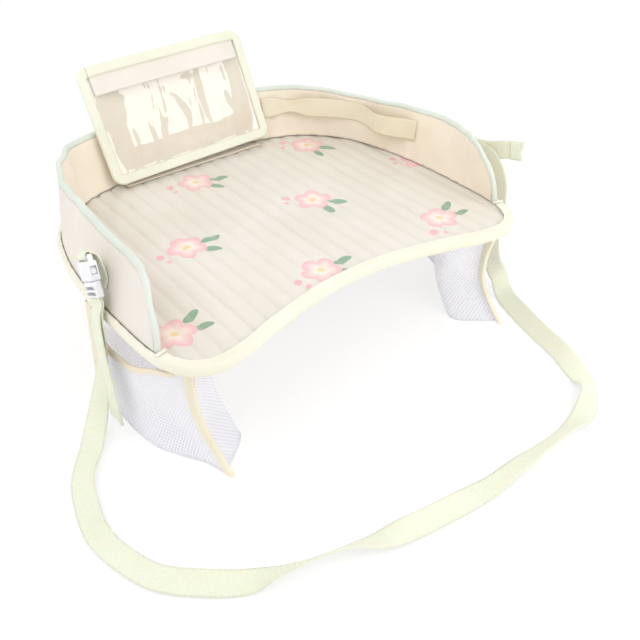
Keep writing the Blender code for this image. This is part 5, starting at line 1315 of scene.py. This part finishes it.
def floor_points():
    """Stations of the strap on the floor, raised by as much as its tilted width needs."""
    points, route = [], STRAP_FLOOR_ROUTE
    for k, (x, y, tilt) in enumerate(route):
        before, after = route[max(k - 1, 0)], route[min(k + 1, len(route) - 1)]
        turn = math.degrees(math.atan2(before[0] - after[0], after[1] - before[1]))
        side = width_way(turn + 180, tilt)
        height = FLOOR_Z + abs(side[2]) + WEB_THICK / 2 + STRAP_FLOOR_LIFT
        points.append(np.concatenate([(x, y, height), side]))
    return points


def straight_start(matrix, layer):
    """First stations of webbing, straight out of a plug's end."""
    end = -GAP - PLUG_LENGTH - GAP
    start = in_frame(matrix, (0, end, layer * (WEB_THICK + GAP) / 2))
    side = way(matrix, (WEB_WIDTH / 2, 0, 0))
    return [np.concatenate([start, side]),
            np.concatenate([start - way(matrix, (0, 1, 0)) * WEB_WIDTH / 4, side])]


def one_way_round(points):
    """Keeps the half width vectors of following stations on the same side."""
    for before, point in zip(points, points[1:]):
        if before[3:] @ point[3:] < 0:
            point[3:] *= -1
    return points


def web_piece(name, stations, finish):
    """Webbing of its real width through its stations."""
    grid = ribbon(stations, WEB_WIDTH, 9)
    return sheet_piece(name, grid, WEB_THICK, finish), grid


def make_strap(finishes):
    """The long strap, from the left plug round in front of the tray to the right plug."""
    points = straight_start(LEFT_FRAME, -1) + hanging_points(STRAP_LEFT_DROP) + floor_points()
    points += hanging_points(STRAP_RIGHT_RISE) + straight_start(RIGHT_FRAME, -1)[::-1]
    stations = curve_through(one_way_round(points), 12)
    strap, _ = web_piece("seat_back_strap", stations, finishes["webbing"])
    stand_in("long_strap")


def make_tail(side_name, matrix, layer, route, finishes):
    """Free end of the webbing with its folded hem."""
    stations = curve_through(one_way_round(straight_start(matrix, layer) + hanging_points(route)), 14)
    lengths = arc_lengths(stations[:, :3])
    tangents = np.gradient(stations[:, :3], axis=0)
    tangents /= np.linalg.norm(tangents, axis=1)[:, None]
    faces = np.cross(tangents, stations[:, 3:])
    faces /= np.linalg.norm(faces, axis=1)[:, None]
    lift = np.array([ramp(at, lengths[-1] - WEB_HEM - 0.004, lengths[-1] - WEB_HEM) for at in lengths])
    stations[:, :3] += faces * (lift * WEB_THICK * 0.5)[:, None]
    last, ahead, face = stations[-1].copy(), tangents[-1], faces[-1]
    fold = []
    for k in range(1, 6):
        turn = math.pi * k / 6
        centre = last[:3] - face * WEB_THICK * 0.5
        fold.append(np.concatenate([centre + ahead * WEB_THICK * 0.5 * math.sin(turn)
                                    + face * WEB_THICK * 0.5 * math.cos(turn), last[3:]]))
    back = [k for k in range(len(stations) - 1, -1, -1) if lengths[-1] - lengths[k] < WEB_HEM]
    under = [np.concatenate([stations[k, :3] - faces[k] * WEB_THICK * 1.02, stations[k, 3:]]) for k in back]
    stations_all = np.vstack([stations, fold, under])
    tail, _ = web_piece(side_name + "_webbing_tail", stations_all, finishes["webbing"])
    stand_in(side_name + "_strap_tail")
    return tail


def patch_station(along, up, towards):
    """Station of webbing sewn flat on the wall, heading for another place of the wall."""
    off = -GAP - WEB_THICK / 2 - 0.0010
    spot = wall_place(along, up, off)
    ahead = wall_place(*towards, off) - spot
    outwards = np.cross(wall_place(along, up + WEB_THICK, off) - spot,
                        wall_place(along + WEB_THICK, up, off) - spot)
    side = np.cross(ahead, outwards)
    return np.concatenate([spot, side / np.linalg.norm(side) * WEB_WIDTH / 2])


def make_anchor(side_name, matrix, shares, hanging, finishes):
    """Short webbing: sewn flat to the wall, then round the bar of the socket's loop."""
    radius = LOOP_THICK / 2 + 2 * GAP + WEB_THICK / 2
    bar = SOCKET_LENGTH + (LOOP_SLOT + LOOP_LENGTH) / 2
    side = way(matrix, (WEB_WIDTH / 2, 0, 0))
    turns = np.arange(-50.0, 191.0, 30.0) if hanging else np.arange(-90.0, -271.0, -30.0)
    loop = [(bar + radius * math.cos(math.radians(turn)), radius * math.sin(math.radians(turn)))
            for turn in turns]
    if hanging:
        loop.insert(0, (bar - WEB_THICK, -BUCKLE_THICK * 0.8))
    else:
        loop.insert(0, (bar + WEB_WIDTH / 4, -radius))
        loop.append((bar + WEB_WIDTH / 4, radius))
    patch = [(along * WALL_LENGTH, up * WALL_HEIGHT) for along, up in shares]
    (along, up), towards = patch[1], patch[0]
    beyond = (2 * along - towards[0], 2 * up - towards[1])
    stations = [patch_station(*towards, patch[1]), patch_station(along, up, beyond)]
    stations += [np.concatenate([in_frame(matrix, (0, y, z)), side]) for y, z in loop]
    stations = curve_through(one_way_round(stations), 10)
    web, grid = web_piece(side_name + "_webbing_anchor", stations, finishes["webbing"])
    stand_in(side_name + "_anchor_web")


# The scene

def make_stage():
    """A pale flat floor, a white world backdrop, and even studio light."""
    floor_finish, tree, shader = finish_named("studio_floor")
    grain = add(tree, "TexNoise", {"Vector": (add(tree, "TexCoord", []), "Object"), "Scale": 40.0})
    tone = add(tree, "Mix", {0: grain, 6: "#FFFFFF", 7: "#FDFDFD"}, data_type="RGBA")
    tree.links.new(tone.outputs[2], shader.inputs["Base Color"])
    shader.inputs["Roughness"].default_value = 0.9
    shader.inputs["Specular IOR Level"].default_value = 0.0
    light = add(tree, "Emission", {"Color": "#FFFFFF", "Strength": 1.0})
    path = add(tree, "LightPath", [])
    seen = add(tree, "Math", [(path, "Is Camera Ray"), 0.66], operation="MULTIPLY")
    mixed = add(tree, "MixShader", [seen, shader, light])
    output = [n for n in tree.nodes if n.type == "OUTPUT_MATERIAL"][0]
    tree.links.new(mixed.outputs[0], output.inputs[0])
    bpy.ops.object.select_all(action="DESELECT")
    bpy.ops.mesh.primitive_grid_add(x_subdivisions=8, y_subdivisions=8, size=8.0, location=(0, 0, FLOOR_Z))
    floor = bpy.context.active_object
    floor.name = "studio_floor"
    bpy.ops.object.transform_apply(location=True, rotation=True, scale=True)
    floor.data.materials.append(floor_finish)

    world = bpy.data.worlds.new("studio")
    bpy.context.scene.world = world
    world.use_nodes = True
    tree = world.node_tree
    ambient = tree.nodes["Background"]
    ambient.inputs["Color"].default_value = (1.0, 1.0, 1.0, 1.0)
    ambient.inputs["Strength"].default_value = 0.95
    backdrop = add(tree, "Background", {"Color": "#FFFFFF", "Strength": 1.0})
    path = add(tree, "LightPath", [])
    direct = add(tree, "Math", [(path, "Is Camera Ray"), (path, "Is Glossy Ray")], operation="MAXIMUM")
    direct = add(tree, "Math", [direct, (path, "Is Transmission Ray")], operation="MAXIMUM")
    mixed = add(tree, "MixShader", [direct, ambient, backdrop])
    output = [n for n in tree.nodes if n.type == "OUTPUT_WORLD"][0]
    tree.links.new(mixed.outputs[0], output.inputs[0])
    make_lamp("key_lamp", (-0.9, -0.3, 1.5), (0.0, 0.0, 0.0), (0.9, 0.9), 4.5)
    make_lamp("window_lamp", (0.41, -0.74, 0.46), (0.0, 0.15, 0.05), (0.46, 0.46), 2.05)
    make_lamp("back_lamp", (-0.9, 0.9, 1.1), (0.0, 0.0, 0.0), (0.8, 0.5), 2.0)


def dress_solids(finishes):
    """Finishes for the solids that stay: boards and buckles."""
    looks = {"board_core": "stiffener", "wall_board": "stiffener", "pouch_board": "board"}
    for side_name in ("left", "right"):
        for part in ("_buckle_socket", "_buckle_plug", "_prong_a", "_prong_b"):
            looks[side_name + part] = "plastic"
    for node, look in looks.items():
        piece = bpy.data.objects[node]
        piece.data.materials.clear()
        piece.data.materials.append(finishes[look])


def main():
    bpy.context.scene.view_settings.view_transform = "Standard"
    make_camera()
    finishes = make_finishes()
    tails = [make_tail("left", LEFT_FRAME, 1, LEFT_TAIL_ROUTE, finishes),
             make_tail("right", RIGHT_FRAME, 1, RIGHT_TAIL_ROUTE, finishes)]
    make_strap(finishes)
    make_anchor("left", LEFT_FRAME, [(0.105, 0.30), (0.107, 0.47)], True, finishes)
    make_anchor("right", RIGHT_FRAME, [(0.862, 0.68), (0.878, 0.68)], False, finishes)
    make_tray(finishes)
    make_wall(finishes)
    make_pouch(finishes)
    make_pocket("left", -1, finishes)
    make_pocket("right", 1, finishes)
    dress_solids(finishes)
    make_stage()


main()
